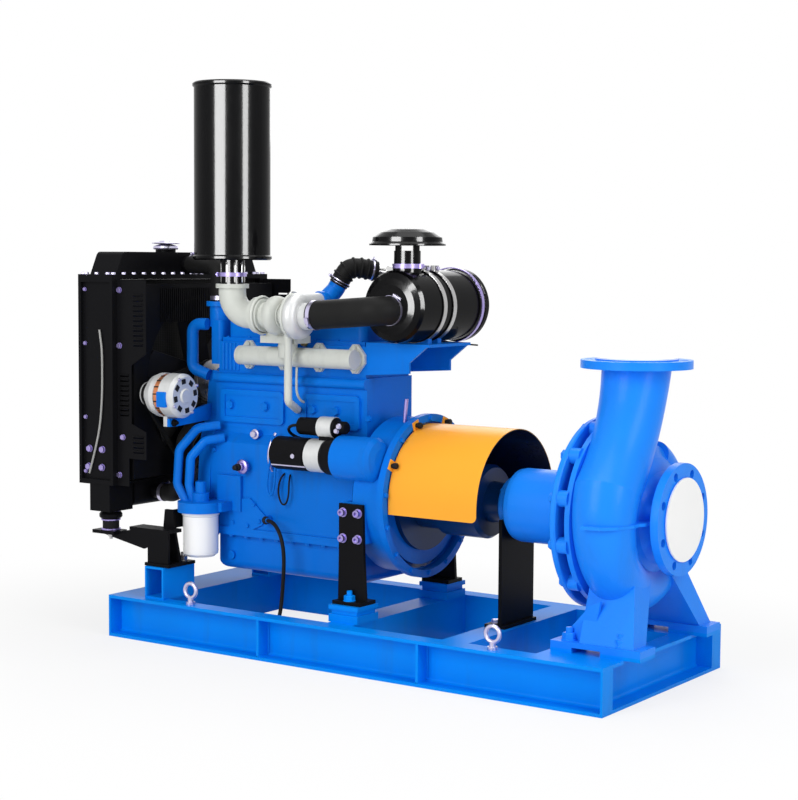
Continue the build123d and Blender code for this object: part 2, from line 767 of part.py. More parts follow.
# Front end of the engine
belt_groove_depth = 10.0
belt_thick = 10.0
belt_wheels = [(0, axis_z, crank_pulley_radius), (0, fan_z, water_pulley_radius),
               (alternator_y, alternator_z, alternator_pulley_radius)]
pulley_x0 = belt_mid_x - pulley_width / 2
pulley_x1 = belt_mid_x + pulley_width / 2


def pulley(radius, y, z):
    """Pulley with one square belt groove."""
    half = belt_width / 2 + seat_gap
    floor = radius - belt_groove_depth
    return revolve_x([(pulley_x0, 0), (pulley_x0, radius), (belt_mid_x - half, radius), (belt_mid_x - half, floor),
                      (belt_mid_x + half, floor), (belt_mid_x + half, radius), (pulley_x1, radius), (pulley_x1, 0)],
                     y, z)


def alternator():
    """Alternator with its pulley, stepped ends and the lower ear."""
    x0 = pulley_x1 + 8
    x1 = alternator_end_x
    r = alternator_radius
    body = revolve_x([(x0, 0), (x0, 40), (x0 + 12, r - 6), (x0 + 30, r), (x0 + 46, r), (x0 + 47, r - 4),
                      (x0 + 64, r - 4), (x0 + 65, r), (x1 - 10, r), (x1, r - 10), (x1, 22), (x1 + 4, 18), (x1 + 4, 0)],
                     alternator_y, alternator_z)
    ear_y = alternator_y
    ear = box(alternator_ear_x, alternator_ear_x + 14, ear_y - 16, ear_y + 16, alternator_z - r - 26, alternator_z - 40)
    shaft = rod_x(pulley_x1, x0 + 1, 12, alternator_y, alternator_z)
    return body + ear + shaft + pulley(alternator_pulley_radius, alternator_y, alternator_z)


def alternator_bracket():
    """Flat arm from the gear case's side to the alternator's ear."""
    ear_z = alternator_z - alternator_radius - 14
    arm = plate_yz([(alternator_y - 16, ear_z - 12), (alternator_y + 16, ear_z - 12), (-90, ear_z - 2),
                    (-90, ear_z + 46), (alternator_y + 52, ear_z + 24), (alternator_y + 16, ear_z + 11),
                    (alternator_y - 16, ear_z + 11)], alternator_ear_x + 14, alternator_ear_x + 24)
    return arm - timing_case()


def belt_pulleys():
    """Crank pulley and water pump pulley on their noses."""
    crank = pulley(crank_pulley_radius, 0, axis_z) + rod_x(pulley_x1, timing_front_x - 14, 34, 0, axis_z)
    water = pulley(water_pulley_radius, 0, fan_z) + rod_x(pulley_x1, timing_front_x - 22, 26, 0, fan_z)
    return crank, water


def fan_belt():
    """V belt round the three pulleys, one fixed loop."""
    outer = make_hull([(Pos(y, z) * Circle(r - belt_groove_depth + seat_gap + belt_thick)).edge()
                       for y, z, r in belt_wheels])
    inner = make_hull([(Pos(y, z) * Circle(r - belt_groove_depth + seat_gap)).edge() for y, z, r in belt_wheels])
    return Pos(belt_mid_x - belt_width / 2, 0, 0) * extrude(Plane.YZ * (outer - inner), belt_width)


save("alternator", alternator())
save("alternator_bracket", alternator_bracket())
save("belt_pulleys", *belt_pulleys())
save("fan_belt", fan_belt())


# Radiator
radiator_front_x = radiator_back_x + radiator_depth
core_inset = 36.0
tank_height = tank_top_z - radiator_top_z


def radiator_core():
    """Finned core between the side frames, with shallow vertical tube rows."""
    core = box(radiator_back_x + 18, radiator_front_x - 18, -radiator_half_width + core_inset + seat_gap,
               radiator_half_width - core_inset - seat_gap, radiator_bottom_z + 8, radiator_top_z - 8)
    return core


def radiator_frame():
    """Folded side channels with the top and bottom plates that join them."""
    w = radiator_half_width
    frame = box(radiator_back_x, radiator_front_x, -w, w, radiator_bottom_z, radiator_top_z)
    frame -= box(radiator_back_x - 1, radiator_front_x + 1, -w + core_inset, w - core_inset,
                 radiator_bottom_z + 6, radiator_top_z - 6)
    for side in (-1, 1):
        recess = box(radiator_back_x + 10, radiator_front_x - 10, side * (w - 10), side * (w + 1),
                     radiator_bottom_z + 14, radiator_top_z - 14)
        frame -= recess
        leg = box(radiator_back_x + 38, radiator_front_x - 18, side * (w - 100), side * (w - 4),
                  radiator_foot_z, radiator_bottom_z)
        frame += leg
    return frame


def tank_outline(z0, z1, low, high):
    return [(-low, z0), (low, z0), (high, z1), (-high, z1)]


def radiator_top_tank():
    """Pressed top tank with sloping ends and the outlet for the upper hose."""
    w = radiator_half_width
    tank = plate_yz(tank_outline(radiator_top_z, tank_top_z, w - 30, w - 64),
                    radiator_back_x + 16, radiator_front_x - 16)
    tank = fillet(tank.edges().filter_by(Axis.X).group_by(Axis.Z)[-1], 18)
    rim = box(radiator_back_x, radiator_front_x, -w, w, radiator_top_z, radiator_top_z + 8)
    neck = rod_z(tank_top_z - 2, tank_top_z + 8, 30, radiator_back_x + radiator_depth / 2, -50)
    outlet = rod_x(radiator_front_x - 20, radiator_front_x + 24, 24, -10, radiator_top_z + 38)
    return tank + rim + neck + outlet


def filler_cap():
    """Pressure cap on the filler neck."""
    x = radiator_back_x + radiator_depth / 2
    cap = revolve_z([(0, tank_top_z + 8), (36, tank_top_z + 8), (38, tank_top_z + 12), (36, tank_top_z + 18),
                     (18, tank_top_z + 24), (0, tank_top_z + 25)], x, -50)
    return cap


def radiator_bottom_tank():
    """Bottom tank with the outlet for the lower hose."""
    w = radiator_half_width
    tank = box(radiator_back_x + 20, radiator_front_x - 20, -w + 110, w - 110, radiator_foot_z + 6, radiator_bottom_z)
    tank = fillet(tank.edges().filter_by(Axis.Y).group_by(Axis.Z)[0], 20)
    outlet = rod_x(radiator_front_x - 24, radiator_front_x + 30, 20, -150, radiator_foot_z + 42)
    return tank + outlet


save("radiator_core", radiator_core())
save("radiator_frame", radiator_frame())
save("radiator_top_tank", radiator_top_tank())
save("radiator_filler_cap", filler_cap())
save("radiator_bottom_tank", radiator_bottom_tank())

shroud_reach = 48.0
lower_hose_radius = 26.0


def fan_shroud():
    """Sheet shroud on the engine side of the core with the round fan opening."""
    w = radiator_half_width - core_inset
    shroud = box(radiator_front_x, radiator_front_x + shroud_reach, -w, w, radiator_bottom_z + 20, radiator_top_z - 20)
    shroud -= box(radiator_front_x - 1, radiator_front_x + shroud_reach - radiator_sheet, -w + radiator_sheet,
                  w - radiator_sheet, radiator_bottom_z + 20 + radiator_sheet, radiator_top_z - 20 - radiator_sheet)
    shroud -= rod_x(radiator_front_x + 10, radiator_front_x + shroud_reach + 1, fan_radius + 12, 0, fan_z)
    return shroud


def cooling_fan():
    """Six bladed fan on the water pump pulley."""
    fan = rod_x(fan_x - 14, pulley_x0, 44, 0, fan_z)
    for i in range(6):
        blade = Pos(fan_x, 0, fan_radius - 108) * Rot(0, 0, 65) * Box(80, 4, 214)
        fan += Pos(0, 0, fan_z) * Rot(60 * i + 15, 0, 0) * blade
    return fan


save("cooling_fan", cooling_fan())
save("fan_shroud", fan_shroud())


def louvre_plate(points, rows):
    """Side guard sheet with its louvre slots; rows are (x0, x1, z0, count)."""
    plate = plate_xz(points, -radiator_half_width + 20, -radiator_half_width + 22)
    for x0, x1, z0, count in rows:
        for i in range(count):
            plate -= box(x0, x1, -radiator_half_width + 10, -radiator_half_width + 30,
                         z0 + 14 * i, z0 + 14 * i + 5)
    return plate


def fan_side_guard():
    """Louvred sheet that closes the near side between radiator and fan."""
    x0 = radiator_front_x
    near = louvre_plate([(x0, 1028), (x0 + 110, 1028), (x0 + 110, 820), (x0 + 54, 786), (x0 + 54, 620),
                         (x0 + 110, 598), (x0 + 110, 520), (x0 + 44, 520), (x0 + 44, 440), (x0, 440)],
                        [(x0 + 62, x0 + 98, 840, 11), (x0 + 10, x0 + 44, 640, 9), (x0 + 60, x0 + 100, 536, 4)])
    return near


guard = fan_side_guard()
save("fan_side_guards", guard, mirror(guard, Plane.XZ))


def upper_hose():
    """Rubber hose from the top tank to the thermostat tower."""
    z = radiator_top_z + 38
    x = thermostat_x + 14
    hose = pipe([(radiator_front_x + 4, -10, z), (-690, -40, z), (x, thermostat_y, z - 6), (x, thermostat_y, 966)],
                28, 34)
    return hose - rod_x(radiator_front_x - 20, radiator_front_x + 24.3, 24.3, -10, z)


def lower_hose():
    """Rubber hose from the bottom tank up to the water pump."""
    z = radiator_foot_z + 42
    x = (pulley_x1 + timing_front_x) / 2
    hose = pipe([(radiator_front_x + 4, -150, z), (-716, -150, z), (x, -160, z + 40), (x, -160, 560),
                 (x, -70, 650)], lower_hose_radius, 34)
    return hose - rod_x(radiator_front_x - 20, radiator_front_x + 30.3, 20.3, -150, z)


save("radiator_hoses", upper_hose(), lower_hose())


# Oil filter and its pipes
filter_x = -578.0
filter_y = -192.0
filter_top_z = 366.0
case_clearance = 3.0


def oil_filter_head():
    """Cast filter head on the crankcase side with its cap and flanges."""
    head = rod_z(filter_top_z, filter_top_z + 30, 66, filter_x, filter_y)
    head += rod_z(filter_top_z + 29, filter_top_z + 54, 24, filter_x, filter_y)
    head += rod_z(filter_top_z + 53, filter_top_z + 86, 15, filter_x, filter_y)
    arm = box(filter_x + 18, filter_x + 78, -crankcase_half_width, filter_y, filter_top_z + 4, filter_top_z + 30)
    plate = box(filter_x + 22, filter_x + 108, -crankcase_half_width - 12, -crankcase_half_width,
                filter_top_z + 2, filter_top_z + 104)
    head += arm + plate
    head -= plate_xz(side_plate_outline, -crankcase_half_width - joint_rail_out, -120)
    head -= box(filter_x - 100, timing_front_x + case_clearance, -260, 0, 300, mount_plate_top + case_clearance)
    head -= box(filter_x - 100, block_front_x + case_clearance, -timing_half_width - case_clearance, 0, 300, 700)
    return head - box(filter_x - 100, filter_x + 200, -crankcase_half_width, 0, 300, 700)


def oil_filter():
    """Spin-on filter can."""
    top = filter_top_z
    can = revolve_z([(0, top - 128), (40, top - 128), (50, top - 120), (51, top - 112), (51, top - 12), (54, top - 8),
                     (54, top), (0, top)], filter_x, filter_y)
    return can


def oil_cooler_pipes():
    """Two painted pipes down the front corner of the crankcase."""
    side_y = -crankcase_half_width
    first = pipe([(-556, side_y, 612), (-602, -178, 604), (-650, -202, 540), (-654, -206, 440), (-620, -200, 384)],
                 13, 30)
    second = pipe([(-540, side_y, 576), (-578, -172, 568), (-612, -196, 520), (-616, -198, 440), (-600, -194, 390)],
                  13, 26)
    blockers = box(-600, 0, side_y, 0, 300, 700) + oil_filter_head()
    return first - blockers, second - blockers


save("oil_filter_head", oil_filter_head())
save("oil_filter", oil_filter())
save("oil_cooler_pipes", *oil_cooler_pipes())


def oil_return_pipe():
    """Silvered drain from the turbocharger to the crankcase, between the tappet covers."""
    x = return_pipe_x
    drain = pipe([(x, turbo_y, turbo_z - 20), (x, turbo_y, 700), (x - 20, -150, 674),
                  (x - 50, -block_half_width, 668)], 11, 18)
    drain -= rod_x(x - 40, x + 40, turbo_waist_radius, turbo_y, turbo_z)
    return drain - box(x - 100, x + 60, -block_half_width, 0, 600, 760)


save("oil_return_pipe", oil_return_pipe())

starter_y = -196.0
starter_z = 556.0


def starter_motor():
    """Starter body ending at the housing's nose, with the solenoid on its back."""
    body = revolve_x([(-296, 0), (-296, 34), (-288, 46), (-180, 46), (-176, 42), (-128, 42), (-110, 50),
                      (-74, 52), (-74, 0)], starter_y, starter_z)
    solenoid = revolve_x([(-214, 0), (-214, 24), (-150, 25), (-148, 28), (-92, 28), (-88, 22), (-80, 0)],
                         starter_y + 4, starter_z + 78)
    saddle = box(-140, -96, starter_y - 14, starter_y + 14, starter_z + 40, starter_z + 56)
    return body + solenoid + saddle


save("starter_motor", starter_motor())


# Coupling guard
def coupling_guard():
    """Sheet hood over the coupling with its fixing tabs."""
    z_low = axis_z - guard_drop
    x0 = housing_face_x + seat_gap
    hood = rod_x(x0, guard_end_x, guard_radius, 0, axis_z) & box(x0, guard_end_x, -300, 300, axis_z, axis_z + 300)
    hood += box(x0, guard_end_x, -guard_radius, guard_radius, z_low, axis_z)
    inner = rod_x(x0 - 1, guard_end_x + 1, guard_radius - guard_sheet, 0, axis_z)
    inner += box(x0 - 1, guard_end_x + 1, -guard_radius + guard_sheet, guard_radius - guard_sheet,
                 z_low - 1, axis_z)
    hood -= inner
    corners = [e for e in hood.edges().filter_by(Axis.Y) if e.center().Z < z_low + 1 and e.center().X > guard_end_x - 1]
    hood = fillet(corners, 16)
    for angle in (-62, -20, 20, 62):
        tab = box(x0, x0 + 3, -14, 14, guard_radius - 4, housing_flange_diameter / 2 - 2)
        hood += Pos(0, 0, axis_z) * Rot(angle, 0, 0) * tab
    return hood


save("coupling_guard", coupling_guard())
coupling_end_x = bracket_start_x - bearing_cap_reach - 2.0


def flywheel():
    """Flywheel on the crankshaft's end."""
    front_x = housing_face_x - flywheel_recess
    r = flywheel_diameter / 2
    back_x = front_x - flywheel_thick
    return revolve_x([(block_rear_x + 2, 0), (block_rear_x + 2, crank_stub_radius), (block_rear_x + 20, crank_stub_radius),
                      (back_x, 70), (back_x, r), (front_x, r), (front_x, 0)], 0, axis_z)


def drive_coupling():
    """Flexible coupling drum and the pump shaft that carries it."""
    x0 = housing_face_x - flywheel_recess
    coupling = revolve_x([(x0, 0), (x0, 150), (x0 + 14, 150), (x0 + 14, coupling_hub_radius),
                          (coupling_drum_x, coupling_hub_radius), (coupling_drum_x, coupling_drum_radius),
                          (coupling_drum_end - 12, coupling_drum_radius), (coupling_drum_end, 92),
                          (coupling_drum_end, 56), (coupling_end_x - 8, 50), (coupling_end_x - 8, shaft_radius),
                          (bracket_start_x + 60, shaft_radius), (bracket_start_x + 60, 0)], 0, axis_z)
    return coupling


save("flywheel", flywheel())
save("drive_coupling", drive_coupling())


# Bearing bracket
cover_x = casing_back_x - cover_gap - cover_thick


def bearing_bracket():
    """Bearing housing of the pump with its cap and rear flange."""
    body = revolve_x([(bracket_start_x - bearing_cap_reach, 0), (bracket_start_x - bearing_cap_reach, bearing_cap_radius - 6),
                      (bracket_start_x - bearing_cap_reach + 6, bearing_cap_radius),
                      (bracket_start_x, bearing_cap_radius), (bracket_start_x, bracket_radius - 14),
                      (bracket_start_x + 10, bracket_radius - 3), (bracket_start_x + 24, bracket_radius),
                      (cover_x - 30, bracket_radius), (cover_x - 16, bracket_radius + 12),
                      (cover_x - 14, bracket_flange_radius), (cover_x, bracket_flange_radius), (cover_x, 0)], 0, axis_z)
    return body - rod_x(bracket_start_x - bearing_cap_reach - 1, bracket_start_x + 62, shaft_radius + running_gap, 0, axis_z)


def bracket_pillar():
    """Flat pillar under the bearing end with its foot on the cross beam."""
    x1 = bracket_start_x
    x0 = x1 - pillar_thick
    half = pillar_width / 2
    pillar = box(x0, x1, -half, half, channel_height + 8, axis_z - 34)
    foot = box(pillar_beam_x + 4, x1 + 10, -half, half, channel_height, channel_height + 9)
    notch = rod_x(x0 - 1, x1 + 1, bearing_cap_radius + seat_gap, 0, axis_z)
    return pillar + foot - notch


save("bearing_bracket", bearing_bracket())
save("bracket_pillar", bracket_pillar())


# Pump
def bolt_places(diameter, count):
    """Centres of a flange's holes, straddling the centre lines."""
    step = 360.0 / count
    return [(diameter / 2 * cos(radians(step * (i + 0.5))), diameter / 2 * sin(radians(step * (i + 0.5))))
            for i in range(count)]


def casing_cover():
    """Back cover of the pump, bolted to the casing's bosses."""
    r = cover_diameter / 2
    cover = revolve_x([(cover_x, 0), (cover_x, r - 3), (cover_x + 3, r), (cover_x + cover_thick - 3, r),
                       (cover_x + cover_thick, r - 3), (cover_x + cover_thick, 150), (casing_back_x, 100),
                       (casing_back_x, 0)], 0, axis_z)
    return cover


def volute_station(t):
    """Angle, centre line radius and passage radius at a share t of the spiral."""
    angle = volute_start_angle - volute_sweep * t
    centre = volute_start_radius + volute_growth * t
    tube = volute_start_tube + (volute_end_tube - volute_start_tube) * t
    return radians(angle), centre, tube


def volute_plane(t):
    a, centre, tube = volute_station(t)
    place = (volute_x, centre * cos(a), axis_z + centre * sin(a))
    return Plane(origin=place, x_dir=(1, 0, 0), z_dir=(0, sin(a), -cos(a)))


def volute():
    """Spiral passage of the casing, growing from the tongue round to the neck."""
    sections = []
    for i in range(volute_sections + 1):
        t = i / volute_sections
        sections.append(volute_plane(t) * Circle(volute_station(t)[2]))
    return loft(sections)


def discharge_neck():
    """Neck that carries the spiral's end up to the discharge flange."""
    low = volute_plane(1.0) * Circle(volute_end_tube)
    flange_back_z = axis_z + discharge_rise - flange_thick
    high = Pos(discharge_x, 0, flange_back_z + 2) * Circle(neck_radius)
    middle_z = flange_back_z - 90
    middle = Plane(origin=(discharge_x + 2, -26, middle_z), x_dir=(1, 0, 0), z_dir=(0, 0.22, 1)) * Circle(neck_radius - 5)
    return loft([low, middle, high])


def flange_holes(place, radius=flange_bolt_hole / 2):
    """Through holes of a pump flange, on its own plane."""
    holes = []
    for u, v in bolt_places(flange_bolt_circle, flange_bolt_count):
        holes.append(place * Pos(u, v, -flange_thick / 2) * Cylinder(radius, flange_thick * 2))
    return holes


def pump_leg(side):
    """Foot plate and the tapered leg above it."""
    foot_bottom = channel_height + foot_packing
    foot_top = foot_bottom + foot_thick
    outer = foot_outer_y
    inner = foot_inner_y
    x0 = foot_edge_x
    x1 = foot_edge_x + foot_length_x
    foot = box(x0, x1, side * inner, side * outer, foot_bottom, foot_top)
    foot -= box(foot_pad_end_x, foot_pad_start_x, side * (inner - 1), side * (outer + 1),
                foot_bottom - 1, foot_bottom + foot_relief)
    low = Pos(leg_low_x, side * 186, foot_top - 1) * Rectangle(leg_low_length, 66)
    high = Pos(leg_high_x, side * 100, axis_z - 150) * Rectangle(leg_high_length, 90)
    leg = loft([low, high])
    web = plate_xz([(700, foot_top - 1), (foot_edge_x + 26, foot_top - 1), (foot_edge_x + 26, foot_top + 16),
                    (690, 236), (720, 250)], side * 182, side * 192)
    brace = plate_yz([(side * 168, foot_top + 40), (side * 186, foot_top + 60), (side * 120, axis_z - 110),
                      (side * 60, axis_z - 110), (side * 60, axis_z - 170)], leg_high_x - 6, leg_high_x + 6)
    gusset = web + brace
    for i in range(2):
        x = foot_first_bolt_x + i * foot_bolt_spacing_x
        foot -= rod_z(foot_bottom - 1, foot_bottom + foot_thick + 1, foot_bolt_hole / 2, x, side * foot_bolt_spacing_y / 2)
    return foot + leg + gusset


def pump_casing():
    """Casing with volute, necks, flanges, ribs and feet in one casting."""
    face_x = discharge_x + suction_reach
    top_z = axis_z + discharge_rise
    rim = casing_bolt_circle / 2 + 12
    barrel = revolve_x([(casing_back_x, 0), (casing_back_x, rim), (casing_back_x + 14, rim),
                        (casing_back_x + 18, casing_side_radius), (volute_x + 20, casing_side_radius - 20),
                        (volute_x + 46, 150), (volute_x + 60, 118),
                        (face_x - flange_thick - 8, pump_bore / 2 + neck_wall),
                        (face_x - flange_thick, pump_bore / 2 + neck_wall + 12),
                        (face_x - flange_thick, flange_diameter / 2),
                        (face_x - flange_face_rise, flange_diameter / 2),
                        (face_x - flange_face_rise, flange_face_diameter / 2), (face_x, flange_face_diameter / 2),
                        (face_x, 0)], 0, axis_z)
    casing = barrel + volute() + discharge_neck()
    casing += rod_z(top_z - flange_thick, top_z - flange_face_rise, flange_diameter / 2, discharge_x, 0)
    casing += rod_z(top_z - flange_face_rise - 1, top_z, flange_face_diameter / 2, discharge_x, 0)
    for u, v in bolt_places(casing_bolt_circle, casing_bolt_count):
        casing += rod_x(cover_x + cover_thick, casing_back_x + 6, casing_boss_radius, u, axis_z + v)
    casing += pump_leg(-1) + pump_leg(1)
    casing += plate_xz([(735, 660), (745, 650), (781, 557), (800, 530), (735, 530)], -rib_thick / 2, rib_thick / 2)
    near_fin = [(discharge_x, -60), (face_x - 19, -60), (face_x - 19, -118), (818, -128), (806, -160), (808, -190),
                (790, -240), (760, -275), (discharge_x, -283)]
    far_fin = [(discharge_x, 60), (face_x - 19, 60), (face_x - 19, 112), (790, 150), (778, 200), (discharge_x, 226)]
    for fin in (near_fin, far_fin):
        casing += plate_xy(fin, axis_z - fin_thick / 2, axis_z + fin_thick / 2)
    casing -= rod_x(discharge_x, face_x + 1, pump_bore / 2, 0, axis_z)
    casing -= rod_z(axis_z + 250, top_z + 1, pump_bore / 2, discharge_x, 0)
    suction_plane = Plane(origin=(face_x - flange_thick / 2, 0, axis_z), x_dir=(0, 1, 0), z_dir=(1, 0, 0))
    discharge_plane = Plane(origin=(discharge_x, 0, top_z - flange_thick / 2), x_dir=(1, 0, 0), z_dir=(0, 0, 1))
    for hole in flange_holes(suction_plane) + flange_holes(discharge_plane):
        casing -= hole
    return casing


def foot_beams():
    """Short channels inside the rails with the packing plates for the pump's feet."""
    x0 = foot_edge_x - 10
    y1 = rail_web_y
    y0 = y1 - foot_beam_width
    beam = box(x0, end_web_x, -y1, -y0, channel_height - 60, channel_height)
    beam -= box(x0 - 1, end_web_x + 1, -y1 - 1, -y0 - channel_web, channel_height - 61,
                channel_height - channel_flange_thick)
    for pad_x0, pad_x1 in ((foot_edge_x, foot_pad_end_x), (foot_pad_start_x, foot_edge_x + foot_length_x)):
        beam += box(pad_x0, pad_x1, -foot_outer_y, -foot_inner_y, channel_height, channel_height + foot_packing)
    return both_sides(beam)


save("casing_cover", casing_cover())
casing = pump_casing()
save("pump_casing", casing)
save("pump_foot_beams", *foot_beams())

suction_face_x = discharge_x + suction_reach
discharge_face_z = axis_z + discharge_rise
save("flange_covers", rod_x(suction_face_x, suction_face_x + cover_sheet_thick, flange_face_diameter / 2, 0, axis_z),
     rod_z(discharge_face_z, discharge_face_z + cover_sheet_thick, flange_face_diameter / 2, discharge_x, 0))


def drain_hose():
    """Hanging drain hose as straight runs joined by the largest arcs they allow."""
    points = [Vector(*p) for p in drain_route]
    radii = []
    for before, here, after in zip(points, points[1:], points[2:]):
        run_in = here - before
        run_out = after - here
        shorter = min(run_in.length, run_out.length)
        radii.append(0.45 * shorter / tan(radians(run_in.get_angle(run_out) / 2)))
    path = FilletPolyline(*points, radius=radii)
    hose = sweep(Plane(origin=path @ 0, z_dir=path % 0) * Circle(hose_diameter / 2), path=path)
    print("drain hose radii", [round(r) for r in radii], "length", round(path.length),
          "volume share", round(hose.volume / (path.length * 3.14159 * hose_diameter ** 2 / 4), 4))
    return hose


save("drain_hose", drain_hose())
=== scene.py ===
import math
import bpy
from mathutils import Matrix, Vector


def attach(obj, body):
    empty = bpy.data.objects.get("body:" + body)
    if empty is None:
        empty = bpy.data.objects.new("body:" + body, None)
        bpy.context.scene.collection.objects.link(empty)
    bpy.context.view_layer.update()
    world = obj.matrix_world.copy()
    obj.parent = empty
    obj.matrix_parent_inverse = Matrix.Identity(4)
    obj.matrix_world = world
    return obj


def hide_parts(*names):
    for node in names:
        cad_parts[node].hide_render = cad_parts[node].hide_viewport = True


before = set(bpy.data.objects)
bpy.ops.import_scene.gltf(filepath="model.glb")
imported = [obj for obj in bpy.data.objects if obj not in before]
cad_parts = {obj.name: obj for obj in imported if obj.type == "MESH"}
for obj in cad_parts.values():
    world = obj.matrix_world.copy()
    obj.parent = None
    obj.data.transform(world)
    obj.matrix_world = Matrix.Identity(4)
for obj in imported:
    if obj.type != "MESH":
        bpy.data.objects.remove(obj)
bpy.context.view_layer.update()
print("frame loaded:", len(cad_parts), "nodes")

shaftHeight = 0.444                         # metres from the floor to the line of the shaft


# Camera, lamps and floor

cameraSetup = {
    "lens": 81.14,                          # mm
    "sensor": 36.0,                         # mm, its width
    "clip": (0.05, 100.0),
    "place": (2.8087, -4.0985, 1.0874),
    "azimuth": 34.62,
    "pitch": 4.42,
    "roll": 0.37,
}

glossyPieces = ["muffler", "air_cleaner", "intake_cap"]

lampSetup = {
    "key": {"place": (-0.2, -3.9, 2.0), "aim": (0.0, 0.0, 0.7), "size": (1.9, 2.8), "power": 98.0},
    "fill": {"place": (3.2, -0.9, 1.9), "aim": (0.2, 0.0, 0.6), "size": (1.0, 2.6), "power": 48.0},
    # cards that only the glossy black pieces reflect: they draw the tall highlights of the muffler
    "keyCard": {"place": (-0.2, -3.9, 2.0), "aim": (0.0, 0.0, 0.9), "size": (2.2, 3.2), "power": 2600.0,
                "only": glossyPieces},
    "fillCard": {"place": (3.2, -0.9, 1.9), "aim": (0.0, 0.0, 0.9), "size": (1.1, 2.8), "power": 1000.0,
                 "only": glossyPieces},
    "top": {"place": (0.2, 0.2, 4.0), "aim": (0.0, 0.0, 0.5), "size": (3.2, 2.2), "power": 70.0},
    "back": {"place": (-2.2, 3.4, 2.6), "aim": (0.0, 0.0, 0.7), "size": (2.6, 2.0), "power": 34.0},
}

stageSetup = {
    "white": (1.0, 1.0, 1.0, 1.0),
    "floorSize": 60.0,
    "floorColour": (0.86, 0.86, 0.86, 1.0),
    "glowNear": 0.78,                       # share of white under the object, for what is seen directly
    "glowReach": (0.7, 1.6),                # metres from the middle over which that share rises to 1
    "glowShape": (0.75, 1.0, 1.0),          # the object is longer than it is wide
    "worldLight": 0.24,
}


def placeCamera(setup):
    turn = math.radians(setup["azimuth"])
    tilt = math.radians(setup["pitch"])
    roll = math.radians(setup["roll"])
    back = Vector((math.sin(turn) * math.cos(tilt), -math.cos(turn) * math.cos(tilt), math.sin(tilt)))
    right = Vector((math.cos(turn), math.sin(turn), 0.0))
    up = back.cross(right)
    rolledRight = right * math.cos(roll) + up * math.sin(roll)
    rolledUp = up * math.cos(roll) - right * math.sin(roll)
    bpy.ops.object.camera_add()
    camera = bpy.context.object
    camera.name = "photoCamera"
    camera.data.lens = setup["lens"]
    camera.data.sensor_width = setup["sensor"]
    camera.data.clip_start, camera.data.clip_end = setup["clip"]
    rows = [(rolledRight[i], rolledUp[i], back[i], setup["place"][i]) for i in range(3)]
    camera.matrix_world = Matrix(rows + [(0.0, 0.0, 0.0, 1.0)])
    bpy.context.scene.camera = camera


def placeLamps(setup):
    for name, lamp in setup.items():
        bpy.ops.object.light_add(type="AREA", location=lamp["place"])
        light = bpy.context.object
        light.name = name + "Lamp"
        light.data.shape = "RECTANGLE"
        light.data.size, light.data.size_y = lamp["size"]
        light.data.energy = lamp["power"]
        aim = Vector(lamp["aim"]) - Vector(lamp["place"])
        if "only" in lamp:
            light.visible_diffuse = False
            lit = bpy.data.collections.new(name + "Pieces")
            for node in lamp["only"]:
                lit.objects.link(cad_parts[node])
            light.light_linking.receiver_collection = lit
        light.rotation_mode = "QUATERNION"
        light.rotation_quaternion = aim.to_track_quat("-Z", "Y")


# Shader maths: a wrapped socket takes part in Python expressions

class Wire:
    def __init__(self, socket):
        self.socket = socket
        self.tree = socket.id_data

    def math(self, operation, first, second):
        return addNode(self.tree, "ShaderNodeMath", {"operation": operation}, {0: first, 1: second})

    def __add__(self, other):
        return self.math("ADD", self, other)

    def __radd__(self, other):
        return self.math("ADD", other, self)

    def __sub__(self, other):
        return self.math("SUBTRACT", self, other)

    def __rsub__(self, other):
        return self.math("SUBTRACT", other, self)

    def __mul__(self, other):
        return self.math("MULTIPLY", self, other)

    def __rmul__(self, other):
        return self.math("MULTIPLY", other, self)

    def __gt__(self, other):
        return self.math("GREATER_THAN", self, other)

    def __lt__(self, other):
        return self.math("LESS_THAN", self, other)


def addNode(tree, kind, settings, inputs, output=0):
    node = tree.nodes.new(kind)
    for name, value in settings.items():
        setattr(node, name, value)
    for key, value in inputs.items():
        if isinstance(value, Wire):
            tree.links.new(value.socket, node.inputs[key])
        else:
            node.inputs[key].default_value = value
    return Wire(node.outputs[output])


def startMaterial(name):
    material = bpy.data.materials.new(name)
    material.use_nodes = True
    tree = material.node_tree
    tree.nodes.clear()
    return material, tree


def objectPlace(tree, scale=(1.0, 1.0, 1.0)):
    coords = addNode(tree, "ShaderNodeTexCoord", {}, {}, "Object")
    return addNode(tree, "ShaderNodeMapping", {}, {"Vector": coords, "Scale": scale})


def noise(tree, place, scale, detail=3.0, rough=0.55):
    return addNode(tree, "ShaderNodeTexNoise", {},
                   {"Vector": place, "Scale": scale, "Detail": detail, "Roughness": rough}, "Fac")


def blend(tree, share, first, second):
    return addNode(tree, "ShaderNodeMix", {"data_type": "RGBA", "clamp_factor": True},
                   {"Factor": share, 6: first, 7: second}, 2)


def bump(tree, height, strength, distance):
    return addNode(tree, "ShaderNodeBump", {},
                   {"Height": height, "Strength": strength, "Distance": distance})


def closeMaterial(tree, values):
    surface = addNode(tree, "ShaderNodeBsdfPrincipled", {}, values)
    end = tree.nodes.new("ShaderNodeOutputMaterial")
    tree.links.new(surface.socket, end.inputs["Surface"])


def shade(value, share):
    return tuple(min(1.0, c * share) for c in value[:3]) + (1.0,)


# Paint, castings, rubber and metal

# what all paints share: the scale of each noise, and what it does to colour and roughness
paintPattern = {"cloud": 4.0, "cloudRough": 0.14, "grainRough": 0.1, "streak": (22.0, 22.0, 3.0),
                "streakFrom": 0.56, "streakGain": 6.0, "grime": (0.55, 0.02), "coatRough": 0.08}

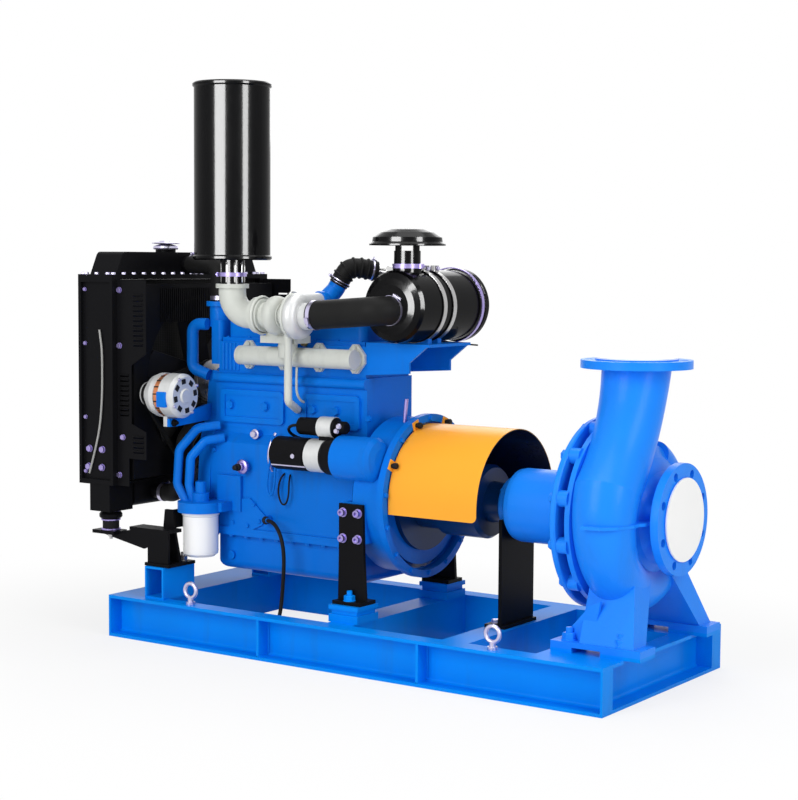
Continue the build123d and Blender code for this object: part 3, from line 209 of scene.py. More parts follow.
# colour and roughness of each paint; grain is the size of its surface in metres
paintSetups = {
    "framePaint": {"colour": (0.0, 0.25, 0.85), "rough": 0.34, "grain": 0.006, "relief": 0.0004,
                   "strength": 0.25, "cloudShare": 0.1, "coat": 0.01, "dirt": 0.2, "gleam": 0.06},
    "pumpPaint": {"colour": (0.012, 0.24, 0.92), "rough": 0.32, "grain": 0.0045, "relief": 0.0011,
                  "strength": 0.42, "cloudShare": 0.1, "coat": 0.04, "dirt": 0.12, "gleam": 0.1},
    "enginePaint": {"colour": (0.002, 0.165, 0.68), "rough": 0.36, "grain": 0.004, "relief": 0.001,
                    "strength": 0.45, "cloudShare": 0.16, "coat": 0.02, "dirt": 0.25, "gleam": 0.08},
    "engineSheetPaint": {"colour": (0.002, 0.17, 0.7), "rough": 0.32, "grain": 0.009, "relief": 0.0004,
                         "strength": 0.2, "cloudShare": 0.1, "coat": 0.03, "dirt": 0.2, "gleam": 0.08},
    "blackGloss": {"colour": (0.003, 0.003, 0.0035), "rough": 0.2, "grain": 0.01, "relief": 0.0003,
                   "strength": 0.12, "cloudShare": 0.15, "coat": 0.09, "dirt": 0.0, "gleam": 0.03},
    "blackSatin": {"colour": (0.006, 0.006, 0.007), "rough": 0.36, "grain": 0.005, "relief": 0.0004,
                   "strength": 0.25, "cloudShare": 0.25, "coat": 0.0, "dirt": 0.0, "gleam": 0.04},
    "guardPaint": {"colour": (0.96, 0.4, 0.037), "rough": 0.3, "grain": 0.008, "relief": 0.0003,
                   "strength": 0.2, "cloudShare": 0.05, "coat": 0.04, "dirt": 0.0, "gleam": 0.08,
                   # inside its shell the guard turns dark navy: painted shade in the hollow of the guard
                   "hollow": {"radius": 0.1985, "axis": shaftHeight, "colour": (0.001, 0.006, 0.028, 1.0)}},
    # dark navy: the coupling's blue paint with painted shade, since it sits inside the guard
    "shadedCouplingPaint": {"colour": (0.002, 0.03, 0.12), "rough": 0.32, "grain": 0.006, "relief": 0.0004,
                      "strength": 0.2, "cloudShare": 0.1, "coat": 0.05, "dirt": 0.0, "gleam": 0.15},
    "silverPaint": {"colour": (0.56, 0.58, 0.54), "rough": 0.42, "grain": 0.003, "relief": 0.0009,
                    "strength": 0.5, "cloudShare": 0.16, "coat": 0.0, "dirt": 0.3, "gleam": 0.3},
    "filterPaint": {"colour": (0.9, 0.9, 0.89), "rough": 0.22, "grain": 0.01, "relief": 0.0002,
                    "strength": 0.1, "cloudShare": 0.04, "coat": 0.5, "dirt": 0.0, "gleam": 0.5},
    "coverBoard": {"colour": (0.93, 0.93, 0.92), "rough": 0.55, "grain": 0.002, "relief": 0.0002,
                   "strength": 0.2, "cloudShare": 0.03, "coat": 0.0, "dirt": 0.0, "gleam": 0.5},
}

# fins and tubes are waves: Blender draws about 3.2 bands a metre for each unit of scale; the gaps between
# them take a darker colour, painted shade
coreSetup = {"colour": (0.016, 0.016, 0.017), "gapShade": (0.0015, 0.0015, 0.0015), "rough": 0.5, "fins": 62.0,
             "tubes": 32.0, "tubeEdge": 0.8, "gleam": 0.1, "strength": 0.5, "relief": 0.001}

# metal, rubber and plastic: colour drifts to tint and back
metalPattern = {"cloud": 45.0, "detail": 3.0, "cloudRough": 0.2, "metal": 0.9, "gleam": 0.5,
                "strength": 0.18, "relief": 0.0004}

metalSetups = {
    "zincPlate": {"colour": (0.62, 0.63, 0.7), "tint": (0.5, 0.44, 0.7), "rough": 0.3, "grain": 0.002},
    "violetZinc": {"colour": (0.42, 0.36, 0.66), "tint": (0.3, 0.24, 0.58), "rough": 0.3, "grain": 0.002},
    "polishedPipe": {"colour": (0.8, 0.8, 0.79), "tint": (0.62, 0.62, 0.62), "rough": 0.12,
                     "grain": 0.006},
    "castAluminium": {"colour": (0.7, 0.71, 0.71), "tint": (0.55, 0.56, 0.56), "rough": 0.42,
                      "grain": 0.0025, "metal": 0.35},
    "turnedSteel": {"colour": (0.5, 0.5, 0.51), "tint": (0.36, 0.35, 0.34), "rough": 0.3, "grain": 0.004},
    "copperWinding": {"colour": (0.72, 0.28, 0.12), "tint": (0.45, 0.16, 0.07), "rough": 0.38,
                      "grain": 0.003},
    "brassFitting": {"colour": (0.72, 0.52, 0.2), "tint": (0.55, 0.38, 0.14), "rough": 0.34,
                     "grain": 0.003},
    "greyTube": {"colour": (0.36, 0.36, 0.35), "tint": (0.28, 0.28, 0.27), "rough": 0.42, "grain": 0.003,
                 "metal": 0.0},
}

rubberPattern = {"cloud": 14.0, "detail": 4.0, "cloudRough": 0.2, "metal": 0.0, "gleam": 0.08,
                 "strength": 0.25, "relief": 0.0004}

rubberSetups = {
    "hoseRubber": {"colour": (0.008, 0.008, 0.008), "tint": (0.0152, 0.0152, 0.0152), "rough": 0.52,
                   "grain": 0.002},
    "mountRubber": {"colour": (0.008, 0.008, 0.008), "tint": (0.0152, 0.0152, 0.0152), "rough": 0.68,
                    "grain": 0.003},
    "fanPlastic": {"colour": (0.01, 0.01, 0.011), "tint": (0.019, 0.019, 0.0209), "rough": 0.45,
                   "grain": 0.004},
}


# true within the given radius of the shaft line: it marks where shade is painted inside the guard
def isInside(tree, hollow):
    place = objectPlace(tree)
    across = addNode(tree, "ShaderNodeSeparateXYZ", {}, {"Vector": place}, "Y")
    rise = addNode(tree, "ShaderNodeSeparateXYZ", {}, {"Vector": place}, "Z") - hollow["axis"]
    rise = rise.math("MAXIMUM", rise, 0.0)
    reach = across.math("POWER", across * across + rise * rise, 0.5)
    return reach < hollow["radius"]


def makePaint(name, setup, pattern):
    material, tree = startMaterial(name)
    place = objectPlace(tree)
    cloud = noise(tree, place, pattern["cloud"], 4.0)
    grain = noise(tree, place, 1.0 / setup["grain"], 3.0, 0.6)
    streak = noise(tree, objectPlace(tree, pattern["streak"]), 1.0)
    paint = setup["colour"]
    share = setup["cloudShare"]
    colour = blend(tree, cloud, shade(paint, 1.0 - share), shade(paint, 1.0 + share))
    marks = (streak - pattern["streakFrom"]) * pattern["streakGain"] * setup["dirt"]
    kept, lift = pattern["grime"]
    colour = blend(tree, marks, colour, tuple(kept * c + lift for c in paint) + (1.0,))
    # the inner faces of the guard take a dark navy colour: painted shade inside the hollow guard
    if "hollow" in setup:
        colour = blend(tree, isInside(tree, setup["hollow"]), colour, setup["hollow"]["colour"])
    rough = setup["rough"] + (cloud - 0.5) * pattern["cloudRough"] + (grain - 0.5) * pattern["grainRough"]
    values = {"Metallic": 0.0, "Coat Weight": setup["coat"], "Coat Roughness": pattern["coatRough"]}
    values["Specular IOR Level"] = setup["gleam"]
    values["Base Color"] = colour
    values["Roughness"] = rough
    values["Normal"] = bump(tree, grain, setup["strength"], setup["relief"])
    closeMaterial(tree, values)
    return material


def makePlain(name, setup, pattern):
    material, tree = startMaterial(name)
    place = objectPlace(tree)
    cloud = noise(tree, place, pattern["cloud"], pattern["detail"])
    grain = noise(tree, place, 1.0 / setup["grain"], 2.0)
    values = {"Metallic": setup.get("metal", pattern["metal"]), "Specular IOR Level": pattern["gleam"]}
    values["Base Color"] = blend(tree, cloud, setup["colour"] + (1.0,), setup["tint"] + (1.0,))
    values["Roughness"] = setup["rough"] + (cloud - 0.5) * pattern["cloudRough"]
    values["Normal"] = bump(tree, grain, pattern["strength"], pattern["relief"])
    closeMaterial(tree, values)
    return material


def makeFins(name, setup):
    material, tree = startMaterial(name)
    place = objectPlace(tree)
    fins = addNode(tree, "ShaderNodeTexWave", {"wave_type": "BANDS", "bands_direction": "Z"},
                   {"Vector": place, "Scale": setup["fins"]}, "Fac")
    tubes = addNode(tree, "ShaderNodeTexWave", {"wave_type": "BANDS", "bands_direction": "Y"},
                    {"Vector": place, "Scale": setup["tubes"]}, "Fac")
    height = fins * 0.5 + (tubes > setup["tubeEdge"]) * 0.5
    # low places between fins and tubes turn darker: painted shade in the gaps
    colour = blend(tree, height, setup["gapShade"] + (1.0,), setup["colour"] + (1.0,))
    values = {"Metallic": 0.0, "Roughness": setup["rough"], "Specular IOR Level": setup["gleam"]}
    values["Base Color"] = colour
    values["Normal"] = bump(tree, height, setup["strength"], setup["relief"])
    closeMaterial(tree, values)
    return material


finish = {"finnedCore": makeFins("finnedCore", coreSetup)}
for name, setup in paintSetups.items():
    finish[name] = makePaint(name, setup, paintPattern)
for name, setup in metalSetups.items():
    finish[name] = makePlain(name, setup, metalPattern)
for name, setup in rubberSetups.items():
    finish[name] = makePlain(name, setup, rubberPattern)
print("finishes ready:", len(finish))


# Finish of each piece that comes from the frame
nodeFinish = {
    "framePaint": ["side_rails", "end_beams", "cross_beams", "pump_foot_beams", "front_support_pedestals",
                   "rear_mount_pads"],
    "pumpPaint": ["pump_casing", "casing_cover", "bearing_bracket"],
    "enginePaint": ["cylinder_block", "timing_case", "flywheel_housing", "cylinder_head", "oil_filter_head",
                    "thermostat_housing", "intake_manifold", "oil_cooler_pipes", "charge_air_pipe",
                    "air_cleaner_bracket", "alternator_bracket", "flywheel"],
    "engineSheetPaint": ["oil_pan", "tappet_covers", "rocker_cover"],
    "blackGloss": glossyPieces,
    "blackSatin": ["front_engine_mounts", "rear_engine_brackets", "bracket_pillar", "radiator_frame",
                   "radiator_top_tank", "radiator_bottom_tank", "fan_shroud", "fan_side_guards",
                   "starter_motor"],
    "shadedCouplingPaint": ["drive_coupling"],
    "finnedCore": ["radiator_core"],
    "guardPaint": ["coupling_guard"],
    "silverPaint": ["exhaust_manifold", "turbine_housing", "exhaust_elbow", "oil_return_pipe"],
    "filterPaint": ["oil_filter"],
    "coverBoard": ["flange_covers"],
    "zincPlate": ["lifting_eyes", "radiator_filler_cap"],
    "castAluminium": ["compressor_housing", "alternator", "injection_pump"],
    "turnedSteel": ["belt_pulleys"],
    "polishedPipe": ["charge_air_crossing"],
    "hoseRubber": ["intake_hose", "radiator_hoses", "fan_belt"],
    "mountRubber": ["radiator_rubber_mounts"],
    "fanPlastic": ["cooling_fan"],
}

for name, nodes in nodeFinish.items():
    for node in nodes:
        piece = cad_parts[node]
        piece.data.materials.clear()
        piece.data.materials.append(finish[name])
print("frame pieces finished")


# Modelling: everything is deselected first, shapes are cut in edit mode, then finished in place


def setMode(mode):
    bpy.ops.object.mode_set(mode=mode)


def startPiece():
    bpy.ops.object.select_all(action="DESELECT")


def pickPiece(piece):
    startPiece()
    piece.select_set(True)
    bpy.context.view_layer.objects.active = piece


def pickFaces(piece, axis):
    setMode("EDIT")
    bpy.ops.mesh.select_mode(type="FACE")
    bpy.ops.mesh.select_all(action="DESELECT")
    setMode("OBJECT")
    for face in piece.data.polygons:
        face.select = getattr(face.normal, axis) > 0.9      # all that point along the axis
    setMode("EDIT")


def bevelFaces(piece, axis, offset, segments=1):
    pickFaces(piece, axis)
    bpy.ops.mesh.bevel(offset=offset, segments=segments, affect="EDGES")
    setMode("OBJECT")


def joinAll(pieces):
    pickPiece(pieces[0])
    for piece in pieces:
        piece.select_set(True)
    if len(pieces) > 1:
        bpy.ops.object.join()
    return bpy.context.object


def facing(direction, spin=0.0):
    turn = Vector(direction).to_track_quat("Z", "Y").to_matrix().to_4x4()
    return turn @ Matrix.Rotation(math.radians(spin), 4, "Z")


def finishPiece(piece, name, finishName, angle=35.0):
    pickPiece(piece)
    bpy.ops.object.transform_apply(location=True, rotation=True, scale=True)
    bpy.ops.object.shade_smooth_by_angle(angle=math.radians(angle))
    piece.name = name
    piece.data.materials.clear()
    piece.data.materials.append(finish[finishName])
    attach(piece, "frame")


def setCopies(pattern, name, places, finishName):
    copies = []
    for place, direction, size in places:
        copy = pattern.copy()
        copy.data = pattern.data.copy()
        bpy.context.collection.objects.link(copy)
        copy.matrix_world = Matrix.Translation(place) @ facing(direction) @ Matrix.Scale(size, 4)
        copies.append(copy)
    finishPiece(joinAll(copies), name, finishName)


def addDisc(sides, radius, z0, z1, bevel):
    startPiece()
    bpy.ops.mesh.primitive_cylinder_add(vertices=sides, radius=radius, depth=z1 - z0,
                                        location=(0.0, 0.0, (z0 + z1) / 2))
    bpy.ops.object.transform_apply(location=True)
    disc = bpy.context.object
    bevelFaces(disc, "z", bevel)
    return disc


def addBlock(centre, size):
    startPiece()
    bpy.ops.mesh.primitive_cube_add(size=1.0, location=centre, scale=size)
    bpy.ops.object.transform_apply(location=True, scale=True)
    return bpy.context.object


# Cord first: the drain hose hangs from its gland to the rail

drainSetup = {
    "points": ((-0.358, -0.158, 0.354), (-0.331, -0.171, 0.354), (-0.303, -0.184, 0.34),
               (-0.283, -0.19, 0.312), (-0.274, -0.191, 0.267), (-0.276, -0.191, 0.207),
               (-0.281, -0.192, 0.14), (-0.28, -0.204, 0.092), (-0.28, -0.235, 0.061),
               (-0.28, -0.269, 0.05)),
    "diameter": 0.011,
    "length": 0.397,
}


def makeLine(name, points, radius, sides=4):
    curve = bpy.data.curves.new(name, "CURVE")
    curve.dimensions = "3D"
    curve.resolution_u = 10
    spline = curve.splines.new("NURBS")
    spline.points.add(len(points) - 1)
    for point, place in zip(spline.points, points):
        point.co = tuple(place) + (1.0,)
    spline.order_u = 3
    spline.use_endpoint_u = True
    curve.bevel_depth = radius
    curve.bevel_resolution = sides
    curve.use_fill_caps = True
    line = bpy.data.objects.new(name, curve)
    bpy.context.collection.objects.link(line)
    pickPiece(line)
    return line


def makeRod(name, points, radius, sides=4):
    makeLine(name, points, radius, sides)
    bpy.ops.object.convert(target="MESH")
    return bpy.context.object


drainHose = makeLine("drainHose", drainSetup["points"], drainSetup["diameter"] / 2, 6)
drainHose.data.materials.append(finish["hoseRubber"])
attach(drainHose, "frame")
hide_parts("drain_hose")
print("drain hose ready")


# Fasteners: each pattern is modelled once at M10 and copied at its own size

fastenerSetup = {
    "washer": {"radius": 0.0105, "thick": 0.0018, "bevel": 0.0004, "sides": 14},
    "hex": {"across": 0.0165, "height": 0.0065, "bevel": 0.0011, "dishInset": 0.0022, "dishDepth": 0.0004},
    "nut": {"across": 0.0165, "height": 0.0082, "bevel": 0.0012},
    "stud": {"radius": 0.0048, "reach": 0.0075, "bevel": 0.0009, "sides": 10},
    "cap": {"radius": 0.0078, "height": 0.0098, "bevel": 0.0008, "sides": 14, "socketInset": 0.0028,
            "socketDepth": 0.0045},
}


def addWasher(setup):
    return addDisc(setup["sides"], setup["radius"], 0.0, setup["thick"], setup["bevel"])


def makeHexBolt(washerSetup, setup):
    thick = washerSetup["thick"]
    washer = addWasher(washerSetup)
    head = addDisc(6, setup["across"] / math.sqrt(3), thick, thick + setup["height"], setup["bevel"])
    pickFaces(head, "z")
    bpy.ops.mesh.inset(thickness=setup["dishInset"])
    bpy.ops.transform.translate(value=(0.0, 0.0, -setup["dishDepth"]))
    setMode("OBJECT")
    return joinAll([washer, head])


def makeHexNut(washerSetup, setup, studSetup):
    thick = washerSetup["thick"]
    top = thick + setup["height"]
    washer = addWasher(washerSetup)
    nut = addDisc(6, setup["across"] / math.sqrt(3), thick, top, setup["bevel"])
    stud = addDisc(studSetup["sides"], studSetup["radius"], top - 0.001, top + studSetup["reach"],
                   studSetup["bevel"])
    return joinAll([washer, nut, stud])


def makeCapScrew(washerSetup, setup):
    thick = washerSetup["thick"]
    washer = addWasher(washerSetup)
    head = addDisc(setup["sides"], setup["radius"], thick, thick + setup["height"], setup["bevel"])
    pickFaces(head, "z")
    bpy.ops.mesh.inset(thickness=setup["socketInset"])
    bpy.ops.mesh.extrude_region_move(TRANSFORM_OT_translate={"value": (0.0, 0.0, -setup["socketDepth"])})
    setMode("OBJECT")
    return joinAll([washer, head])


hexBolt = makeHexBolt(fastenerSetup["washer"], fastenerSetup["hex"])
hexNut = makeHexNut(fastenerSetup["washer"], fastenerSetup["nut"], fastenerSetup["stud"])
capScrew = makeCapScrew(fastenerSetup["washer"], fastenerSetup["cap"])


def ringPlaces(centre, radius, count, direction, size, start=0.0):
    places = []
    for i in range(count):
        angle = math.radians(start + 360.0 * i / count)
        place = (centre[0], centre[1] + radius * math.cos(angle), centre[2] + radius * math.sin(angle))
        places.append((place, direction, size))
    return places


def rowPlaces(first, last, count, direction, size):
    places = []
    for i in range(count):
        share = i / (count - 1)
        place = tuple(a + (b - a) * share for a, b in zip(first, last))
        places.append((place, direction, size))
    return places


def spotPlaces(spots, direction, size):
    return [(spot, direction, size) for spot in spots]


def shaftPlace(x, radius, angle):
    turn = math.radians(angle)
    return (x, -radius * math.sin(turn), shaftHeight + radius * math.cos(turn))


def onBothSides(places):
    mirrored = []
    for place, direction, size in places:
        mirrored.append((place, direction, size))
        mirrored.append(((place[0], -place[1], place[2]), (direction[0], -direction[1], direction[2]), size))
    return mirrored


up = (0.0, 0.0, 1.0)
down = (0.0, 0.0, -1.0)
near = (0.0, -1.0, 0.0)
far = (0.0, 1.0, 0.0)
ahead = (-1.0, 0.0, 0.0)
astern = (1.0, 0.0, 0.0)

pumpBoltSetup = {
    "coverRing": {"x": 0.602, "radius": 0.225, "count": 12, "size": 1.5, "start": 15.0},
    "bracketRing": {"x": 0.588, "radius": 0.134, "count": 8, "size": 1.15, "start": 22.5},
    "capRing": {"x": 0.342, "radius": 0.053, "count": 4, "size": 0.75, "start": 45.0},
}

pumpBolts = []
for ring in pumpBoltSetup.values():
    centre = (ring["x"], 0.0, shaftHeight)
    pumpBolts += ringPlaces(centre, ring["radius"], ring["count"], ahead, ring["size"], ring["start"])
setCopies(hexBolt, "pumpCoverBolts", pumpBolts, "pumpPaint")
footNuts = spotPlaces([(0.638, -0.2, 0.147), (0.783, -0.2, 0.147)], up, 1.85)
setCopies(hexNut, "pumpFootNuts", onBothSides(footNuts), "pumpPaint")

# Mounts of the engine, and the pillar under the bearing bracket
bracketScrews = spotPlaces([(x, -0.226, z) for x in (-0.0447, 0.005) for z in (0.4125, 0.3425)], near, 1.25)
setCopies(capScrew, "rearBracketScrews", onBothSides(bracketScrews), "violetZinc")
setCopies(hexNut, "rearPadNuts", onBothSides([((-0.015, -0.236, 0.176), up, 1.6)]), "framePaint")
supportNuts = spotPlaces([(-0.667, -0.264, 0.221), (-0.632, -0.208, 0.221)], up, 1.4)
setCopies(hexNut, "frontSupportNuts", onBothSides(supportNuts), "turnedSteel")
mountBolts = spotPlaces([(-0.646, -0.086, 0.344), (-0.646, -0.122, 0.344)], ahead, 1.2)
setCopies(hexBolt, "frontMountBolts", onBothSides(mountBolts), "zincPlate")
pillarBolts = spotPlaces([(0.334, -0.055, 0.129), (0.334, 0.055, 0.129)], up, 1.2)
setCopies(hexBolt, "pillarBolts", pillarBolts, "zincPlate")

# Bolts of the engine, in the colour that they were painted with
blockSetup = {
    "plugs": [(x, -0.114, 0.672) for x in (-0.528, -0.401, -0.232, -0.152)],
    "case": ((0.124, 0.36), (0.126, 0.44), (0.12, 0.52), (0.098, 0.62), (0.076, 0.72)),
    "housing": (40, 84, 108, 132, 156, 180, 204, 228, 252, 276, 320, 0),        # degrees from the top
    "plate": ((-0.49, 0.388), (-0.425, 0.392), (-0.405, 0.346), (-0.502, 0.335), (-0.448, 0.33)),
    "cylinders": [-0.465 + 0.125 * i for i in range(4)],
}

engineBolts = spotPlaces(blockSetup["plugs"], near, 1.35)
engineBolts += [((-0.5745, -0.132, 0.54), near, 0.7), ((-0.045, -0.108, 0.656), near, 0.9)]
engineBolts += onBothSides(rowPlaces((-0.57, -0.1295, 0.298), (-0.072, -0.1295, 0.298), 10, down, 0.75))
engineBolts += onBothSides(rowPlaces((-0.56, -0.0898, 0.864), (-0.086, -0.0898, 0.864), 7, up, 0.42))
caseSpots = [(-0.636, side * y, z) for y, z in blockSetup["case"] for side in (-1, 1)]
engineBolts += spotPlaces(caseSpots, ahead, 0.8)
housingSpots = [shaftPlace(0.084, 0.2135, angle) for angle in blockSetup["housing"]]
engineBolts += spotPlaces(housingSpots, astern, 0.72)
engineBolts += spotPlaces([(x, -0.138, z) for x, z in blockSetup["plate"]], near, 0.62)
setCopies(hexBolt, "engineBolts", engineBolts, "enginePaint")

manifoldSpots = [(x, -0.114, 0.818 + rise) for x in blockSetup["cylinders"] for rise in (-0.031, 0.031)]
setCopies(hexBolt, "manifoldBolts", spotPlaces(manifoldSpots, near, 0.85), "silverPaint")
turboSpots = [(x, y, 0.89) for x in (-0.326, -0.241) for y in (-0.189, -0.141)]
setCopies(hexNut, "turboNuts", spotPlaces(turboSpots, up, 0.75), "turnedSteel")

# Bolts of the radiator: round the seam of its top tank, and down both sides
seamSetup = {"z": 1.043, "rows": (-0.778, -0.895), "halfRow": 0.336, "ends": (-0.8835, -0.843, -0.8005),
             "halfEnd": 0.335}
seamBolts = []
for x in seamSetup["rows"]:
    first, last = [(x, side * seamSetup["halfRow"], seamSetup["z"]) for side in (-1, 1)]
    seamBolts += rowPlaces(first, last, 17, up, 0.72)
for x in seamSetup["ends"]:
    seamBolts += spotPlaces([(x, side * seamSetup["halfEnd"], seamSetup["z"]) for side in (-1, 1)], up, 0.72)
setCopies(hexBolt, "radiatorTankBolts", seamBolts, "zincPlate")

sideBoltSetup = (
    (-0.34, 1.0, ((-0.8695, 0.541), (-0.819, 0.541), (-0.8205, 0.489), (-0.8735, 0.489))),
    (-0.33, 0.85, ((-0.76, 0.999), (-0.76, 0.841), (-0.748, 0.58), (-0.762, 0.471))),
    (-0.34, 0.6, ((-0.885, 1.000), (-0.885, 0.845), (-0.885, 0.632), (-0.885, 0.475))),
)
sideBolts = []
for y, size, spots in sideBoltSetup:
    sideBolts += spotPlaces([(x, y, z) for x, z in spots], near, size)
setCopies(hexBolt, "radiatorSideBolts", onBothSides(sideBolts), "violetZinc")
print("fasteners ready")


# Clamp bands: a strip with a wall, and a screw housing across it

clampSetup = {"wall": 0.0012, "sides": 48, "rise": 0.004, "housing": (0.007, 0.018), "overlap": 1.05,
              "bevel": 0.0018, "screwRadius": 0.0036, "screwLength": 0.008, "screwShift": 0.012,
              "screwSides": 10, "slotInset": 0.0011, "slotDepth": 0.001}


def makeClampScrew(radius, width, setup):
    middle = radius + setup["rise"]
    housing = addBlock((middle, 0.0, 0.0), setup["housing"] + (width * setup["overlap"],))
    bevelFaces(housing, "x", setup["bevel"], 2)
    startPiece()
    bpy.ops.mesh.primitive_cylinder_add(vertices=setup["screwSides"], radius=setup["screwRadius"],
                                        depth=setup["screwLength"], rotation=(math.radians(90.0), 0.0, 0.0),
                                        location=(middle, setup["screwShift"], 0.0))
    bpy.ops.object.transform_apply(location=True, rotation=True)
    screw = bpy.context.object
    pickFaces(screw, "y")
    bpy.ops.mesh.inset(thickness=setup["slotInset"])
    bpy.ops.transform.translate(value=(0.0, -setup["slotDepth"], 0.0))
    setMode("OBJECT")
    return [housing, screw]


def makeBand(setup):
    startPiece()
    bpy.ops.mesh.primitive_cylinder_add(vertices=clampSetup["sides"], radius=setup["radius"],
                                        depth=setup["width"], end_fill_type="NOTHING")
    strip = bpy.context.object
    wall = strip.modifiers.new("wall", "SOLIDIFY")
    wall.thickness = setup.get("thick", clampSetup["wall"])
    wall.offset = 1.0
    bpy.ops.object.modifier_apply(modifier="wall")
    parts = [strip]
    if "spin" in setup:
        parts += makeClampScrew(setup["radius"], setup["width"], clampSetup)
    band = joinAll(parts)
    band.matrix_world = Matrix.Translation(setup["place"]) @ facing(setup["along"], setup.get("spin", 0.0))
    return band


# only a band with a spin has a screw, and the spin turns it round the band
bandSetups = {
    "compressorInletClamp": {
        "finish": "zincPlate", "place": (-0.148, -0.215, 0.939), "along": astern,
        "radius": 0.0395, "width": 0.012, "spin": 200.0},
    "hoseEndClamp": {
        "finish": "zincPlate", "place": (0.067, -0.1735, 0.955), "along": far,
        "radius": 0.0393, "width": 0.01, "spin": 120.0},
    "mufflerNeckClamp": {
        "finish": "violetZinc", "place": (-0.44, -0.215, 1.046), "along": up,
        "radius": 0.0375, "width": 0.011, "spin": 20.0, "thick": 0.0025},
    "upperHoseClamp": {
        "finish": "zincPlate", "place": (-0.757, -0.01, 1.073), "along": astern,
        "radius": 0.0283, "width": 0.012, "spin": 90.0},
    "thermostatClamp": {
        "finish": "zincPlate", "place": (-0.614, -0.062, 0.976), "along": up,
        "radius": 0.0283, "width": 0.012, "spin": 250.0},
    "lowerHoseClamp": {
        "finish": "zincPlate", "place": (-0.756, -0.15, 0.404), "along": astern,
        "radius": 0.0263, "width": 0.012, "spin": 30.0},
    "intakeNeckClamp": {
        "finish": "violetZinc", "place": (0.067, -0.092, 1.073), "along": up,
        "radius": 0.0392, "width": 0.012, "spin": 190.0},
    "starterBand": {
        "finish": "castAluminium", "place": (-0.137, -0.196, 0.556), "along": astern,
        "radius": 0.0425, "width": 0.068, "thick": 0.0032},
    "solenoidBand": {
        "finish": "castAluminium", "place": (-0.1185, -0.192, 0.634), "along": astern,
        "radius": 0.0281, "width": 0.048, "thick": 0.0015},
    "cleanerClampRing": {
        "finish": "violetZinc", "place": (0.067, 0.128, 0.965), "along": far,
        "radius": 0.1022, "width": 0.011, "thick": 0.0028},
    "alternatorWinding": {
        "finish": "copperWinding", "place": (-0.6325, -0.262, 0.702), "along": astern,
        "radius": 0.0592, "width": 0.016, "thick": 0.0014},
}

for name, setup in bandSetups.items():
    finishPiece(makeBand(setup), name, setup["finish"])

# Straps round the air cleaner, each with a pair of ears and a bolt at the top
strapSetup = {"y": (-0.055, -0.008), "radius": 0.0996, "width": 0.016, "thick": 0.0016,
              "earX": (0.093, 0.107), "earZ": 1.066, "ear": (0.0022, 0.016, 0.018), "earBevel": 0.0006,
              "boltZ": 1.067}
straps = []
for y in strapSetup["y"]:
    straps.append(makeBand({"place": (0.067, y, 0.965), "along": far, "radius": strapSetup["radius"],
                            "width": strapSetup["width"], "thick": strapSetup["thick"]}))
    for x in strapSetup["earX"]:
        ear = addBlock((x, y, strapSetup["earZ"]), strapSetup["ear"])
        bevelFaces(ear, "z", strapSetup["earBevel"])
        straps.append(ear)
finishPiece(joinAll(straps), "cleanerStraps", "turnedSteel")
strapBolts = spotPlaces([(0.109, y, strapSetup["boltZ"]) for y in strapSetup["y"]], astern, 0.6)
strapBolts += spotPlaces([(0.091, y, strapSetup["boltZ"]) for y in strapSetup["y"]], ahead, 0.6)
setCopies(hexBolt, "cleanerStrapBolts", strapBolts, "zincPlate")
print("clamps ready")


# Charge air joint: a ribbed rubber elbow with a clamp at each end

elbowSetup = {
    "points": ((-0.189, -0.0575, 1.02), (-0.179, -0.052, 1.04), (-0.166, -0.0448, 1.064),
               (-0.15, -0.027, 1.068), (-0.13, -0.003, 1.063), (-0.112, 0.019, 1.058)),
    "radius": 0.0268,
    "ribRadius": 0.0036,
    "ribs": 7,
    "clamps": {"chargeClampLow": ((-0.1845, -0.055, 1.029), (0.45, 0.25, 0.86)),
               "chargeClampHigh": ((-0.12, 0.0095, 1.06), (0.62, 0.76, -0.17))},
}


def linePlaces(points, count):
    line = makeLine("measure", points, 0.0)
    mesh = bpy.data.meshes.new_from_object(line)
    spots = [v.co.copy() for v in mesh.vertices]
    bpy.data.objects.remove(line)
    bpy.data.meshes.remove(mesh)
    reach = [0.0]
    for first, second in zip(spots, spots[1:]):
        reach.append(reach[-1] + (second - first).length)
    places = []
    for i in range(count):
        target = reach[-1] * (i + 0.5) / count
        at = max(k for k in range(len(spots) - 1) if reach[k] <= target)
        share = (target - reach[at]) / (reach[at + 1] - reach[at])
        places.append((spots[at].lerp(spots[at + 1], share), (spots[at + 1] - spots[at]).normalized()))
    return places


def makeRibbedElbow(setup):
    parts = [makeRod("chargeElbow", setup["points"], setup["radius"], 8)]
    for place, along in linePlaces(setup["points"], setup["ribs"]):
        startPiece()
        bpy.ops.mesh.primitive_torus_add(major_radius=setup["radius"], minor_radius=setup["ribRadius"],
                                         major_segments=36, minor_segments=8)
        rib = bpy.context.object
        rib.matrix_world = Matrix.Translation(place) @ facing(along)
        parts.append(rib)
    return joinAll(parts)


finishPiece(makeRibbedElbow(elbowSetup), "chargeElbow", "hoseRubber", angle=50.0)
for name, (place, along) in elbowSetup["clamps"].items():
    clamp = makeBand({"place": place, "along": along, "radius": 0.0272, "width": 0.009, "spin": 60.0})
    finishPiece(clamp, name, "zincPlate")


# Thin tubes and rods

